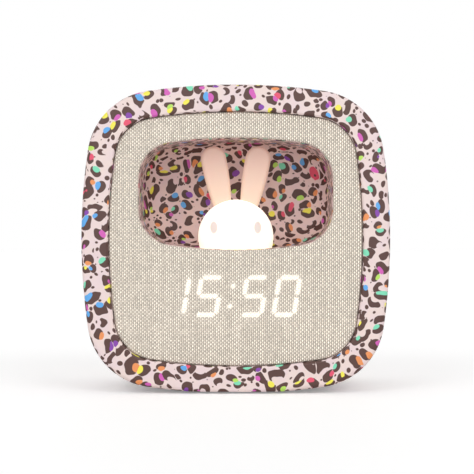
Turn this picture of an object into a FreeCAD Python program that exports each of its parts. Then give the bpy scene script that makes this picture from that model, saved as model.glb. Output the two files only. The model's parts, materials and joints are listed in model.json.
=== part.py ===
"""Kids' alarm clock with a night light: a printed rounded-square case round a fabric front.

A hollow in the front holds a glowing rabbit head, and a four-digit display shines
through the fabric below it. X is to the right seen from the front, Y goes back,
Z goes up, and the origin is on the table under the middle of the case. Millimetres.
"""

import FreeCAD, Part
import math
import os
import re
import Sketcher

Vector = FreeCAD.Vector
Rotation = FreeCAD.Rotation
Placement = FreeCAD.Placement
Constraint = Sketcher.Constraint

# Driving sizes: alias, millimetres (degrees for a slant), and what the size is.
SIZES = [
    ("body_half", 75, "half the case's width and height"),
    ("side_radius", 297, "radius of the case's four bulging sides"),
    ("corner_radius", 34.2, "radius of the case's four corners"),
    ("centre_height", 75.1, "height of the case's centre"),
    ("base_height", 1.0, "height of the flat under the case"),
    ("front_plane", -36, "front of the ring"),
    ("parting_plane", 27, "joint between housing and rear cover"),
    ("rear_plane", 36, "back of the rear cover"),
    ("wall", 2.4, "case wall"),
    ("front_round", 2.2, "rounding of the ring's outer edge"),
    ("rear_round", 8, "rounding of the cover's edge"),
    ("seam_chamfer", 0.35, "chamfer of the parting line"),
    ("ring_width", 13.1, "printed ring round the front panel"),
    ("ring_skin", 2.6, "thickness of the ring's face"),
    ("ring_return", 2, "wall between ring and panel"),
    ("ring_inner_round", 1.2, "rounding of the ring's inner edge"),
    ("panel_gap", 0.5, "gap between ring and fabric"),
    ("fabric_front", -34.2, "front of the fabric"),
    ("fabric_thick", 0.5, "thickness of the fabric"),
    ("fabric_round", 1.4, "rounding of the fabric's edges"),
    ("panel_back", -31.7, "back of the front panel"),
    ("ledge_width", 5.9, "ledge behind the panel's edge"),
    ("ledge_thick", 2, "thickness of that ledge"),
    ("window_half_width", 47.4, "half the width of the hollow's mouth"),
    ("window_half_height", 27.4, "half its height"),
    ("window_height", 97.0, "height of its centre"),
    ("window_side_radius", 1500, "its nearly straight sides"),
    ("window_top_radius", 218, "its bulging top and bottom"),
    ("window_corner", 17.5, "its corners"),
    ("bowl_inset", 0.2, "how far the bowl stands in from the fabric"),
    ("bowl_wall", 1.8, "wall of the bowl"),
    ("bowl_back", 8, "back wall inside the bowl"),
    ("bowl_round", 11, "rounding between the bowl's walls and its back"),
    ("bowl_flange", 6.3, "flange round the bowl's mouth, from the window's edge"),
    ("flange_thick", 1.6, "thickness of that flange"),
    ("head_half_width", 18.8, "rabbit head, half its width"),
    ("head_half_depth", 13.5, "half its depth"),
    ("head_half_height", 18.7, "half the height of its full form"),
    ("head_wall", 1.6, "wall of the hollow head"),
    ("head_height", 76.0, "height of the head's centre"),
    ("head_y", -15, "depth of the head's centre"),
    ("head_foot", 66.4, "underside of the head's clamped foot"),
    ("head_foot_thick", 1.5, "thickness of that foot"),
    ("head_foot_half_width", 21, "half the width of that foot"),
    ("neck_half_width", 18.3, "half the width of the hole in the bowl's floor"),
    ("neck_half_depth", 13.2, "half the depth of that hole"),
    ("ear_half_width", 6.35, "ear, half its greatest width"),
    ("ear_tip_radius", 6.3, "radius of the ear's tip"),
    ("ear_side_radius", 110, "radius of the ear's sides"),
    ("ear_widest", 22.3, "from the ear's root to its widest place"),
    ("ear_thick", 4.4, "thickness of the ear"),
    ("ear_edge_round", 1.9, "rounding of the ear's edges"),
    ("ear_root_x", 6.3, "ear root from the middle"),
    ("ear_root_height", 90, "height of the ear root"),
    ("ear_lean", 11, "lean of the ears, degrees"),
    ("lamp_half_width", 22, "half the width of the lamp tray"),
    ("lamp_half_depth", 12, "half the depth of the lamp tray"),
    ("lamp_low", 60.9, "underside of the lamp tray"),
    ("lamp_seat", 64.4, "where the lamp board lies in the tray"),
    ("lamp_wall", 1.8, "wall of the lamp tray"),
    ("lamp_screw_x", 26, "screws of the lamp tray from the middle"),
    ("lamp_board_thick", 1.2, "thickness of the lamp board"),
    ("lamp_window_half_width", 14.5, "half the width of the tray's light opening"),
    ("lamp_window_half_depth", 7, "half its depth"),
    ("digit_height", 20.4, "0.8 inch digits"),
    ("segment_width", 2.4, "width of a digit's bars"),
    ("segment_gap", 0.45, "gap between two bars"),
    ("segment_span", 9.9, "distance between a digit's upright bars"),
    ("digit_slant", 10, "slant of the digits, degrees"),
    ("digit_pitch", 15.8, "distance between two digits"),
    ("colon_pitch", 22.1, "distance between the digits beside the colon"),
    ("colon_half_gap", 4.9, "half the distance between the colon's dots"),
    ("dot_radius", 1.35, "radius of the colon's dots"),
    ("display_x", -2.1, "middle of the display"),
    ("display_height", 47.3, "height of the display's middle"),
    ("display_half_width", 38, "half the width of the display block"),
    ("display_half_height", 12.3, "half its height"),
    ("display_back", -26.7, "back of the display block"),
    ("display_fit", 0.2, "gap between display block and panel"),
    ("diffuser_thick", 1.6, "thickness of the bars' diffusers"),
    ("display_board_thick", 1.6, "thickness of the display board"),
    ("display_post_x", 43.5, "display posts from the display's middle"),
    ("display_post_z", 10.5, "the same, up and down"),
    ("post_radius", 1.8, "posts on the front panel"),
    ("post_clearance", 0.3, "gap round a post"),
    ("panel_post_far", 58.1, "panel posts from the case's middle"),
    ("panel_post_near", 14, "panel posts from the case's axes"),
    ("bowl_post_x", 28, "upper and lower bowl posts from the middle"),
    ("bowl_post_out", 4.2, "bowl posts from the window's edge"),
    ("bowl_post_radius", 1.7, "posts that hold the bowl"),
    ("small_shank", 1.0, "radius of the small screws"),
    ("small_head", 2.3, "radius of their heads"),
    ("small_head_thick", 1.4, "height of their heads"),
    ("small_bite", 3.1, "length of a small screw under its head"),
    ("column_offset", 51, "case screws from the case's axes"),
    ("column_radius", 3.6, "screw columns of the housing"),
    ("column_end", 22, "rear end of those columns"),
    ("tube_radius", 4.4, "screw tubes of the rear cover"),
    ("cover_seat", 25.5, "seat of the cover screws' heads"),
    ("counterbore_radius", 3.2, "counterbores of the cover screws"),
    ("cover_shank", 1.3, "radius of the cover screws"),
    ("cover_head", 2.8, "radius of their heads"),
    ("cover_head_thick", 2.2, "height of their heads"),
    ("cover_bite", 14, "length of a cover screw under its head"),
    ("cover_thick", 2.2, "thickness of the cover's back"),
    ("lip_reach", 2.2, "cover's lip inside the housing"),
    ("lip_thick", 1.2, "thickness of that lip"),
    ("lip_fit", 0.15, "gap between lip and housing"),
    ("foot_half_width", 21, "half the length of a rubber foot"),
    ("foot_half_depth", 4, "half the depth of a rubber foot"),
    ("foot_offset", 20, "feet from the middle of the case"),
    ("foot_sunk", 0.8, "depth of a foot in the case"),
    ("board_half_width", 43, "half the width of the main board"),
    ("board_low", 12.5, "lower edge of the main board"),
    ("board_high", 63, "upper edge of the main board"),
    ("board_front", 22.4, "front of the main board"),
    ("board_thick", 1.6, "thickness of the main board"),
    ("board_screw_x", 38.5, "board screws from the middle"),
    ("board_screw_inset", 4.5, "board screws from its edges"),
    ("control_half_width", 31, "half the width of the control recess"),
    ("control_low", 23.5, "lower edge of the control recess"),
    ("control_high", 59.5, "upper edge of the control recess"),
    ("control_depth", 1.2, "depth of the control recess"),
    ("control_corner", 6, "corners of the control recess"),
    ("control_inner", 32.6, "inner face of the cover at the controls"),
    ("button_pitch", 20, "side buttons from the middle"),
    ("upper_row", 50, "height of the upper buttons"),
    ("lower_row", 33, "height of the lower buttons"),
    ("button_radius", 4.6, "small buttons"),
    ("light_radius", 6, "large light button"),
    ("button_fit", 0.2, "gap round a button"),
    ("button_top", 35.7, "top of the buttons"),
    ("button_dish", 0.35, "hollow in a button's top"),
    ("button_flange", 1.1, "how far a button's flange stands out"),
    ("button_flange_front", 31.3, "front of a button's flange"),
    ("button_flange_thick", 1.1, "thickness of a button's flange"),
    ("stem_radius", 1.6, "stem of a button"),
    ("plunger_tip", 29.0, "tip of a switch's plunger"),
    ("plunger_root", 25.8, "root of a switch's plunger"),
    ("plunger_radius", 1.7, "plunger of a switch"),
    ("switch_half", 3, "half the side of a switch"),
    ("switch_top", 27.4, "top of a switch"),
    ("switch_floor", 25.0, "floor of a switch's well"),
    ("slide_travel", 3, "travel of the alarm slide"),
    ("slide_rest", -1.5, "the slide's place at rest, its off end"),
    ("slide_half_width", 2.4, "half the width of the slide's grip"),
    ("slide_half_height", 1.5, "half the height of the slide's grip"),
    ("slide_flange_half", 7, "half the width of the slide's flange"),
    ("slide_top", 35.8, "top of the slide's grip"),
    ("slide_flange_thick", 0.9, "thickness of the slide's flange"),
    ("slide_flange_height", 3, "half the height of the slide's flange"),
    ("slide_body_top", 28.0, "top of the slide switch"),
    ("slide_body_half", 5, "half the width of the slide switch"),
    ("slide_body_height", 2.2, "half the height of the slide switch"),
    ("lever_half", 0.7, "half the side of the slide's lever"),
    ("lever_sunk", 1.2, "depth of the lever in its switch"),
    ("groove_pitch", 1.2, "distance between two grip grooves"),
    ("groove_half", 0.25, "half the width of a grip groove"),
    ("groove_depth", 0.4, "depth of a grip groove"),
    ("socket_half_width", 4.5, "half the width of the power socket"),
    ("socket_radius", 1.65, "half the height of the power socket"),
    ("socket_skin", 0.3, "sheet of the power socket"),
    ("socket_height", 17.5, "height of the power socket"),
    ("socket_mouth", 34.4, "mouth of the power socket"),
    ("socket_block", 3.4, "solid root of the power socket"),
    ("tongue_half_width", 3.3, "half the width of the socket's tongue"),
    ("tongue_half_thick", 0.35, "half the thickness of the tongue"),
    ("plug_recess_half_width", 7, "half the width of the recess round the socket"),
    ("plug_recess_half_height", 4, "half the height of that recess"),
    ("plug_recess_depth", 1.3, "depth of that recess"),
    ("reset_radius", 0.9, "reset pinhole"),
    ("reset_x", 13, "reset pinhole from the middle"),
    ("speaker_height", 112, "height of the speaker's middle"),
    ("speaker_radius", 20, "radius of the speaker"),
    ("speaker_rim_thick", 1.2, "thickness of the speaker's rim"),
    ("magnet_radius", 10.5, "speaker magnet"),
    ("basket_depth", 5, "depth of the speaker's basket"),
    ("gasket_thick", 0.8, "foam gasket of the speaker"),
    ("speaker_screw_radius", 21.4, "speaker screws from its middle"),
    ("slot_pitch", 4, "distance between two sound slots"),
    ("slot_radius", 0.9, "half the width of a sound slot"),
    ("grille_radius", 14.5, "reach of the sound slots"),
    ("battery_left", -29, "left edge of the battery"),
    ("battery_right", 27, "right edge of the battery"),
    ("battery_low", 15.5, "lower edge of the battery"),
    ("battery_high", 51.5, "upper edge of the battery"),
    ("battery_front", 14.1, "front of the battery"),
    ("battery_rear", 21.6, "rear of the battery"),
    ("wire_radius", 0.6, "insulated wires"),
    ("wire_pitch", 1.6, "distance between two wires"),
    ("plug_low", 55.5, "underside of the board connectors"),
    ("plug_high", 60.5, "top of the board connectors"),
    ("plug_front", 17.4, "front of the board connectors"),
    ("plug_half", 3, "half the width of a two-wire connector"),
    ("ribbon_plug_half", 6.5, "half the width of the ribbon's connector"),
    ("ribbon_half", 5, "half the width of the ribbon"),
    ("ribbon_thick", 0.4, "thickness of the ribbon"),
    ("can_radius", 2.5, "radius of the capacitors"),
    ("can_height", 5.5, "height of the capacitors"),
    ("can_x", 34, "capacitors from the middle"),
    ("chip_thick", 1.4, "thickness of the board's chips"),
    ("processor_x", -33.5, "processor from the middle"),
    ("memory_x", 33, "memory chip from the middle"),
    ("led_half_width", 1.75, "half the width of a lamp diode"),
    ("led_half_depth", 1.4, "half the depth of a lamp diode"),
    ("led_height", 1.4, "height of a lamp diode"),
    ("led_pitch_x", 8, "distance between lamp diodes across"),
    ("led_pitch_y", 7.2, "distance between lamp diodes front to back"),
    ("battery_round", 1.2, "rounding of the battery's edges"),
    ("tape_inset", 6, "tape in from the battery's edges"),
]

NAMES = {row[0] for row in SIZES}
RING = "ring_width + panel_gap"
DEEP = "fabric_front + fabric_thick"
BOARD_REAR = "board_front + board_thick"
INNER_FACE = "rear_plane - cover_thick"

doc = FreeCAD.newDocument("night_light_clock")
sheet = doc.addObject("Spreadsheet::Sheet", "Sizes")
for row, (alias, number, note) in enumerate(SIZES, start=1):
    sheet.set(f"A{row}", note)
    sheet.set(f"B{row}", str(number))
    sheet.setAlias(f"B{row}", alias)
doc.recompute()


def cells(text):
    """An expression in which each alias points into the sheet."""
    return re.sub(r"[a-z_]+", lambda m: f"Sizes.{m.group()}" if m.group() in NAMES else m.group(), text)


def size(text):
    """The value of an expression of aliases, in millimetres."""
    return float(sheet.evalExpression(cells(text)))


def bind(thing, **properties):
    """Bind properties to expressions; a double underscore in a name stands for a dot."""
    for name, text in properties.items():
        thing.setExpression(name.replace("__", "."), cells(text))


# Sketches and features of a body

def new_body(label):
    body = doc.addObject("PartDesign::Body", label)
    body.Label = label
    return body


def new_sketch(body, name, role):
    sketch = body.newObject("Sketcher::SketchObject", name)
    plane = next(f for f in body.Origin.OriginFeatures if f.Role == role)
    sketch.AttachmentSupport = [(plane, "")]
    sketch.MapMode = "FlatFace"
    return sketch


def upright_sketch(body, name, depth, height="0", across="0"):
    """A sketch in a plane of constant Y, drawn as X and Z about a point of that plane."""
    sketch = new_sketch(body, name, "XZ_Plane")
    bind(sketch, AttachmentOffset__Base__z=f"-({depth})", AttachmentOffset__Base__y=height)
    bind(sketch, AttachmentOffset__Base__x=across)
    return sketch


def level_sketch(body, name, height, depth="0", across="0"):
    """A sketch in a plane of constant Z, drawn as X and Y about a point of that plane."""
    sketch = new_sketch(body, name, "XY_Plane")
    bind(sketch, AttachmentOffset__Base__z=height, AttachmentOffset__Base__y=depth)
    bind(sketch, AttachmentOffset__Base__x=across)
    return sketch


def datum(sketch, kind, first, point, text):
    """Hold a point at a bound distance from the sketch's origin."""
    index = sketch.addConstraint(Constraint(kind, -1, 1, first, point, size(text)))
    sketch.setExpression(f"Constraints[{index}]", cells(text))


def radius_of(sketch, geometry, text):
    index = sketch.addConstraint(Constraint("Radius", geometry, size(text)))
    sketch.setExpression(f"Constraints[{index}]", cells(text))


def arc(x, y, radius, start, end):
    return Part.ArcOfCircle(Part.Circle(Vector(x, y, 0), Vector(0, 0, 1), radius), start, end)


def corner_centre(half_x, half_z, side_r, top_r, corner_r):
    """Centre of the corner arc that touches a side arc and a top arc from inside."""
    side_back, top_back = side_r - half_x, top_r - half_z
    x, z = half_x - corner_r, half_z - corner_r
    for _ in range(30):
        miss_side = (x + side_back) ** 2 + z**2 - (side_r - corner_r) ** 2
        miss_top = x**2 + (z + top_back) ** 2 - (top_r - corner_r) ** 2
        a, b, c, d = 2 * (x + side_back), 2 * z, 2 * x, 2 * (z + top_back)
        scale = a * d - b * c
        x, z = x - (miss_side * d - miss_top * b) / scale, z - (miss_top * a - miss_side * c) / scale
    return x, z


def draw_bulged(sketch, half_x, half_z, side_r, top_r, corner_r):
    """A closed outline of four bulging sides and four corners, all tangent arcs."""
    hx, hz, rs, rt, rc = (size(t) for t in (half_x, half_z, side_r, top_r, corner_r))
    cx, cz = corner_centre(hx, hz, rs, rt, rc)
    low, high = math.atan2(cz, cx + rs - hx), math.atan2(cz + rt - hz, cx)
    turn = math.pi
    first = sketch.GeometryCount
    sketch.addGeometry(
        [
            arc(hx - rs, 0, rs, -low, low),
            arc(cx, cz, rc, low, high),
            arc(0, hz - rt, rt, high, turn - high),
            arc(-cx, cz, rc, turn - high, turn - low),
            arc(rs - hx, 0, rs, turn - low, turn + low),
            arc(-cx, -cz, rc, turn + low, turn + high),
            arc(0, rt - hz, rt, turn + high, 2 * turn - high),
            arc(cx, -cz, rc, 2 * turn - high, 2 * turn - low),
        ],
        False,
    )
    for i in range(8):
        sketch.addConstraint(Constraint("Tangent", first + i, 2, first + (i + 1) % 8, 1))
    for i, text in ((0, side_r), (1, corner_r), (2, top_r)):
        radius_of(sketch, first + i, text)
    for i, j in ((0, 4), (2, 6), (1, 3), (1, 5), (1, 7)):
        sketch.addConstraint(Constraint("Equal", first + i, first + j))
    for i, axis in ((0, -1), (4, -1), (2, -2), (6, -2)):
        sketch.addConstraint(Constraint("PointOnObject", first + i, 3, axis))
    datum(sketch, "DistanceX", first, 3, f"({half_x}) - ({side_r})")
    datum(sketch, "DistanceX", first + 4, 3, f"({side_r}) - ({half_x})")
    datum(sketch, "DistanceY", first + 2, 3, f"({half_z}) - ({top_r})")
    datum(sketch, "DistanceY", first + 6, 3, f"({top_r}) - ({half_z})")


def draw_case(sketch, inset):
    """The case's outline, moved in by inset on every side."""
    half, side, corner = (f"{name} - ({inset})" for name in ("body_half", "side_radius", "corner_radius"))
    draw_bulged(sketch, half, half, side, side, corner)


def draw_window(sketch, outset):
    """The outline of the hollow's mouth, moved out by outset on every side."""
    halves = ("window_half_width", "window_half_height")
    names = halves + ("window_side_radius", "window_top_radius", "window_corner")
    draw_bulged(sketch, *(f"{name} + ({outset})" for name in names))


def draw_rectangle(sketch, x_low, x_high, y_low, y_high):
    corners = [(x_low, y_low), (x_high, y_low), (x_high, y_high), (x_low, y_high)]
    points = [Vector(size(x), size(y), 0) for x, y in corners]
    first = sketch.GeometryCount
    sketch.addGeometry([Part.LineSegment(points[i], points[(i + 1) % 4]) for i in range(4)], False)
    for i in range(4):
        sketch.addConstraint(Constraint("Coincident", first + i, 2, first + (i + 1) % 4, 1))
        sketch.addConstraint(Constraint("Vertical" if i % 2 else "Horizontal", first + i))
    for i in (0, 2):
        datum(sketch, "DistanceX", first + i, 1, corners[i][0])
        datum(sketch, "DistanceY", first + i, 1, corners[i][1])


def line(x, y, far_x, far_y):
    return Part.LineSegment(Vector(x, y, 0), Vector(far_x, far_y, 0))


def draw_rounded(sketch, x_low, x_high, y_low, y_high, corner):
    """A rectangle with round corners."""
    xl, xh, yl, yh, r = (size(t) for t in (x_low, x_high, y_low, y_high, corner))
    quarter = math.pi / 2
    first = sketch.GeometryCount
    sketch.addGeometry(
        [
            line(xl + r, yl, xh - r, yl),
            arc(xh - r, yl + r, r, 3 * quarter, 4 * quarter),
            line(xh, yl + r, xh, yh - r),
            arc(xh - r, yh - r, r, 0, quarter),
            line(xh - r, yh, xl + r, yh),
            arc(xl + r, yh - r, r, quarter, 2 * quarter),
            line(xl, yh - r, xl, yl + r),
            arc(xl + r, yl + r, r, 2 * quarter, 3 * quarter),
        ],
        False,
    )
    for i in range(8):
        sketch.addConstraint(Constraint("Tangent", first + i, 2, first + (i + 1) % 8, 1))
    for i, kind in ((0, "Horizontal"), (2, "Vertical"), (4, "Horizontal"), (6, "Vertical")):
        sketch.addConstraint(Constraint(kind, first + i))
    radius_of(sketch, first + 1, corner)
    for i in (3, 5, 7):
        sketch.addConstraint(Constraint("Equal", first + 1, first + i))
    datum(sketch, "DistanceY", first, 1, y_low)
    datum(sketch, "DistanceX", first + 2, 1, x_high)
    datum(sketch, "DistanceY", first + 4, 1, y_high)
    datum(sketch, "DistanceX", first + 6, 1, x_low)


def draw_circles(sketch, places, radius):
    for x, y in places:
        circle = Part.Circle(Vector(size(x), size(y), 0), Vector(0, 0, 1), size(radius))
        index = sketch.addGeometry(circle, False)
        radius_of(sketch, index, radius)
        datum(sketch, "DistanceX", index, 3, x)
        datum(sketch, "DistanceY", index, 3, y)


def feature(body, kind, sketch, length, forward):
    made = body.newObject(f"PartDesign::{kind}", f"{sketch.Name}_{kind.lower()}")
    made.Profile = sketch
    made.Reversed = forward
    bind(made, Length=length)
    doc.recompute()
    return made


def add(body, sketch, length):
    """Pad an upright sketch backwards, or a level one upwards."""
    return feature(body, "Pad", sketch, length, sketch.AttachmentSupport[0][0].Role == "XZ_Plane")


def take(body, sketch, length):
    """Cut an upright sketch backwards, or a level one upwards, and see that it took something."""
    before = body.Shape.Volume
    made = feature(body, "Pocket", sketch, length, sketch.AttachmentSupport[0][0].Role == "XY_Plane")
    if body.Shape.Volume > before - 1e-6:
        raise RuntimeError(f"{sketch.Name} cuts nothing from {body.Label}")
    return made


def rims(shape, depth, radii):
    """Names of the circular edges in a plane of constant Y that have one of these radii."""
    found = []
    for number, edge in enumerate(shape.Edges, start=1):
        level = max(abs(edge.BoundBox.YMin - depth), abs(edge.BoundBox.YMax - depth)) < 1e-4
        if level and hasattr(edge.Curve, "Radius"):
            if any(abs(edge.Curve.Radius - radius) < 1e-3 for radius in radii):
                found.append(f"Edge{number}")
    return found


def dress(body, kind, name, edges, amount):
    """Round or chamfer edges of the body's last feature."""
    if not edges:
        raise RuntimeError(f"{name} finds no edge on {body.Label}")
    made = body.newObject(f"PartDesign::{kind}", name)
    made.Base = (body.Tip if body.Tip is not made else made.BaseFeature, edges)
    bind(made, **{"Radius" if kind == "Fillet" else "Size": amount})
    doc.recompute()
    return made


def case_radii(inset):
    return [size(f"side_radius - ({inset})"), size(f"corner_radius - ({inset})")]


def window_radii(outset):
    names = ("window_side_radius", "window_top_radius", "window_corner")
    return [size(f"{name} + ({outset})") for name in names]


# Primitives and booleans

def put(thing, x, y, z, rotation=Rotation()):
    thing.Placement = Placement(Vector(), rotation)
    bind(thing, Placement__Base__x=x, Placement__Base__y=y, Placement__Base__z=z)
    return thing


BACKWARD = Rotation(Vector(1, 0, 0), -90)
FORWARD = Rotation(Vector(1, 0, 0), 90)
DOWNWARD = Rotation(Vector(1, 0, 0), 180)


def block(name, x_low, x_high, y_low, y_high, z_low, z_high):
    thing = doc.addObject("Part::Box", name)
    bind(thing, Length=f"({x_high}) - ({x_low})", Width=f"({y_high}) - ({y_low})")
    bind(thing, Height=f"({z_high}) - ({z_low})")
    return put(thing, x_low, y_low, z_low)


def rod(name, radius, length, x, y, z, rotation=BACKWARD):
    thing = doc.addObject("Part::Cylinder", name)
    bind(thing, Radius=radius, Height=length)
    return put(thing, x, y, z, rotation)


def cone(name, radius, far_radius, length, x, y, z, rotation=BACKWARD):
    thing = doc.addObject("Part::Cone", name)
    bind(thing, Radius1=radius, Radius2=far_radius, Height=length)
    return put(thing, x, y, z, rotation)


def joined(name, parts):
    thing = doc.addObject("Part::MultiFuse", name)
    thing.Shapes = parts
    return thing


def cut(name, base, tool):
    thing = doc.addObject("Part::Cut", name)
    thing.Base, thing.Tool = base, tool
    return thing


def group(name, parts):
    thing = doc.addObject("Part::Compound", name)
    thing.Links = parts
    return thing


def copies(name, original, places):
    """A group of one piece at several places, given as x, y and z expressions."""
    links = []
    for number, (x, y, z) in enumerate(places, start=1):
        link = doc.addObject("App::Link", f"{name}_{number}")
        link.LinkedObject = original
        link.LinkTransform = False
        bind(link, Placement__Base__x=x, Placement__Base__y=y, Placement__Base__z=z)
        links.append(link)
    return group(name, links)


def shaped(name, shape):
    thing = doc.addObject("Part::Feature", name)
    thing.Shape = shape
    return thing


def signs():
    return [(x, z) for x in ("-", "") for z in ("-", "")]


# Places that several pieces share

PANEL_POSTS = [(f"{x}panel_post_far", f"{z}panel_post_near") for x, z in signs()]
PANEL_POSTS += [(f"{x}panel_post_near", f"{z}panel_post_far") for x, z in signs()]
BOWL_TOP = (
    "window_half_height - window_top_radius"
    " + sqrt(window_top_radius * window_top_radius - bowl_post_x * bowl_post_x) + bowl_post_out"
)
BOWL_POSTS = [(f"{x}bowl_post_x", f"{z}({BOWL_TOP})") for x, z in signs()]
BOWL_POSTS += [(f"{x}(window_half_width + bowl_post_out)", "0") for x in ("-", "")]
DISPLAY_POSTS = [(f"{x}display_post_x", f"{z}display_post_z") for x, z in signs()]
COLUMNS = [(f"{x}column_offset", f"{z}column_offset") for x, z in signs()]
BOARD_SCREWS = [
    (f"{x}board_screw_x", z)
    for x in ("-", "")
    for z in ("board_low + board_screw_inset", "board_high - board_screw_inset")
]
BUTTONS = {
    "minus": ("-button_pitch", "upper_row", "button_radius"),
    "light": ("0", "upper_row", "light_radius"),
    "plus": ("button_pitch", "upper_row", "button_radius"),
    "time": ("-button_pitch", "lower_row", "button_radius"),
    "alarm": ("button_pitch", "lower_row", "button_radius"),
}


# Case

def front_housing():
    """Printed ring and side walls in one shell, open at the back."""
    body = new_body("front_housing")

    sketch = upright_sketch(body, "case", "front_plane", "centre_height")
    draw_case(sketch, "0")
    add(body, sketch, "parting_plane - front_plane")
    dress(body, "Fillet", "ring_edge", rims(body.Shape, size("front_plane"), case_radii("0")), "front_round")
    seam = rims(body.Shape, size("parting_plane"), case_radii("0"))
    dress(body, "Chamfer", "housing_seam", seam, "seam_chamfer")

    sketch = upright_sketch(body, "inside", "front_plane + ring_skin", "centre_height")
    draw_case(sketch, "wall")
    take(body, sketch, "parting_plane - front_plane")

    sketch = upright_sketch(body, "ledge", "front_plane + ring_skin - 0.2", "centre_height")
    draw_case(sketch, "ring_width - ring_return")
    add(body, sketch, "panel_back + ledge_thick - front_plane - ring_skin + 0.2")

    sketch = upright_sketch(body, "columns", "panel_back", "centre_height")
    draw_circles(sketch, COLUMNS, "column_radius")
    add(body, sketch, "column_end - panel_back")

    sketch = upright_sketch(body, "panel_seat", "front_plane", "centre_height")
    draw_case(sketch, "ring_width")
    take(body, sketch, "panel_back - front_plane")
    inner = rims(body.Shape, size("front_plane"), case_radii("ring_width"))
    dress(body, "Fillet", "ring_inner_edge", inner, "ring_inner_round")

    sketch = upright_sketch(body, "ledge_opening", "front_plane", "centre_height")
    draw_case(sketch, "ring_width + ledge_width")
    take(body, sketch, "panel_back + ledge_thick - front_plane")

    sketch = upright_sketch(body, "post_holes", "panel_back", "centre_height")
    draw_circles(sketch, PANEL_POSTS, "post_radius + post_clearance")
    take(body, sketch, "ledge_thick")

    sketch = upright_sketch(body, "pilot_holes", "cover_seat - cover_bite", "centre_height")
    draw_circles(sketch, COLUMNS, "cover_shank")
    take(body, sketch, "column_end + cover_bite - cover_seat")

    sketch = level_sketch(body, "flat_base", "base_height - 5")
    draw_rectangle(sketch, "-body_half", "body_half", "-body_half", "body_half")
    take(body, sketch, "5")

    for name, depth in (("front_foot_seat", "-foot_offset"), ("rear_foot_seat", "foot_offset")):
        sketch = level_sketch(body, name, "base_height", depth)
        draw_rounded(sketch, *foot_outline())
        take(body, sketch, "foot_sunk")
    return body


def foot_outline():
    width, depth = "foot_half_width", "foot_half_depth"
    return f"-{width}", width, f"-{depth}", depth, f"{depth} - 0.5"


def foot(name, depth):
    """Rubber strip in the flat base of the housing."""
    body = new_body(name)
    sketch = level_sketch(body, f"{name}_outline", "0", depth)
    draw_rounded(sketch, *foot_outline())
    add(body, sketch, "base_height + foot_sunk")
    return body


def front_panel():
    """Flat carrier that the fabric is stretched over."""
    body = new_body("front_panel")

    sketch = upright_sketch(body, "panel", DEEP, "centre_height")
    draw_case(sketch, f"{RING} + fabric_thick")
    add(body, sketch, f"panel_back - ({DEEP})")
    outer = rims(body.Shape, size(DEEP), case_radii(f"{RING} + fabric_thick"))
    dress(body, "Fillet", "panel_edge", outer, "fabric_round - fabric_thick")

    sketch = upright_sketch(body, "panel_window", DEEP, "window_height")
    draw_window(sketch, "fabric_thick")
    take(body, sketch, f"panel_back - ({DEEP})")
    inner = rims(body.Shape, size(DEEP), window_radii("fabric_thick"))
    dress(body, "Fillet", "panel_window_edge", inner, "fabric_round - fabric_thick")

    sketch = upright_sketch(body, "display_window", DEEP, "display_height", "display_x")
    half_x, half_z = "display_half_width + display_fit", "display_half_height + display_fit"
    draw_rounded(sketch, f"-({half_x})", half_x, f"-({half_z})", half_z, "display_fit * 1.5")
    take(body, sketch, f"panel_back - ({DEEP})")

    display_reach = "display_back - panel_back"
    posts = (
        ("panel_posts", "centre_height", "0", PANEL_POSTS, "post_radius", "ledge_thick"),
        ("bowl_posts", "window_height", "0", BOWL_POSTS, "bowl_post_radius", "flange_thick"),
        ("display_posts", "display_height", "display_x", DISPLAY_POSTS, "post_radius", display_reach),
    )
    for name, height, across, places, radius, reach in posts:
        sketch = upright_sketch(body, name, "panel_back - 0.2", height, across)
        draw_circles(sketch, places, radius)
        add(body, sketch, f"{reach} + 0.2")
        sketch = upright_sketch(body, f"{name}_pilots", f"panel_back + {reach} - small_bite", height, across)
        draw_circles(sketch, places, "small_shank")
        take(body, sketch, "small_bite")
    return body


def fabric_cover():
    """Woven cloth over the panel, turned in round its rim and round the hollow's mouth."""
    body = new_body("cloth_blank")

    sketch = upright_sketch(body, "cloth", "fabric_front", "centre_height")
    draw_case(sketch, RING)
    add(body, sketch, "panel_back - fabric_front")
    edges = rims(body.Shape, size("fabric_front"), case_radii(RING))
    dress(body, "Fillet", "cloth_edge", edges, "fabric_round")

    sketch = upright_sketch(body, "cloth_window", "fabric_front", "window_height")
    draw_window(sketch, "0")
    take(body, sketch, "panel_back - fabric_front")
    inner = rims(body.Shape, size("fabric_front"), window_radii("0"))
    dress(body, "Fillet", "cloth_window_edge", inner, "fabric_round")

    # The carrier's own form is taken out of the cloth, and leaves a skin of even thickness.
    hollow = new_body("cloth_hollow")
    sketch = upright_sketch(hollow, "hollow", DEEP, "centre_height")
    draw_case(sketch, f"{RING} + fabric_thick")
    add(hollow, sketch, "panel_back - fabric_front")
    outer = rims(hollow.Shape, size(DEEP), case_radii(f"{RING} + fabric_thick"))
    dress(hollow, "Fillet", "hollow_edge", outer, "fabric_round - fabric_thick")
    sketch = upright_sketch(hollow, "hollow_window", DEEP, "window_height")
    draw_window(sketch, "fabric_thick")
    take(hollow, sketch, "panel_back - fabric_front")
    inner = rims(hollow.Shape, size(DEEP), window_radii("fabric_thick"))
    dress(hollow, "Fillet", "hollow_window_edge", inner, "fabric_round - fabric_thick")
    return cut("fabric_cover", body, hollow)


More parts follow.
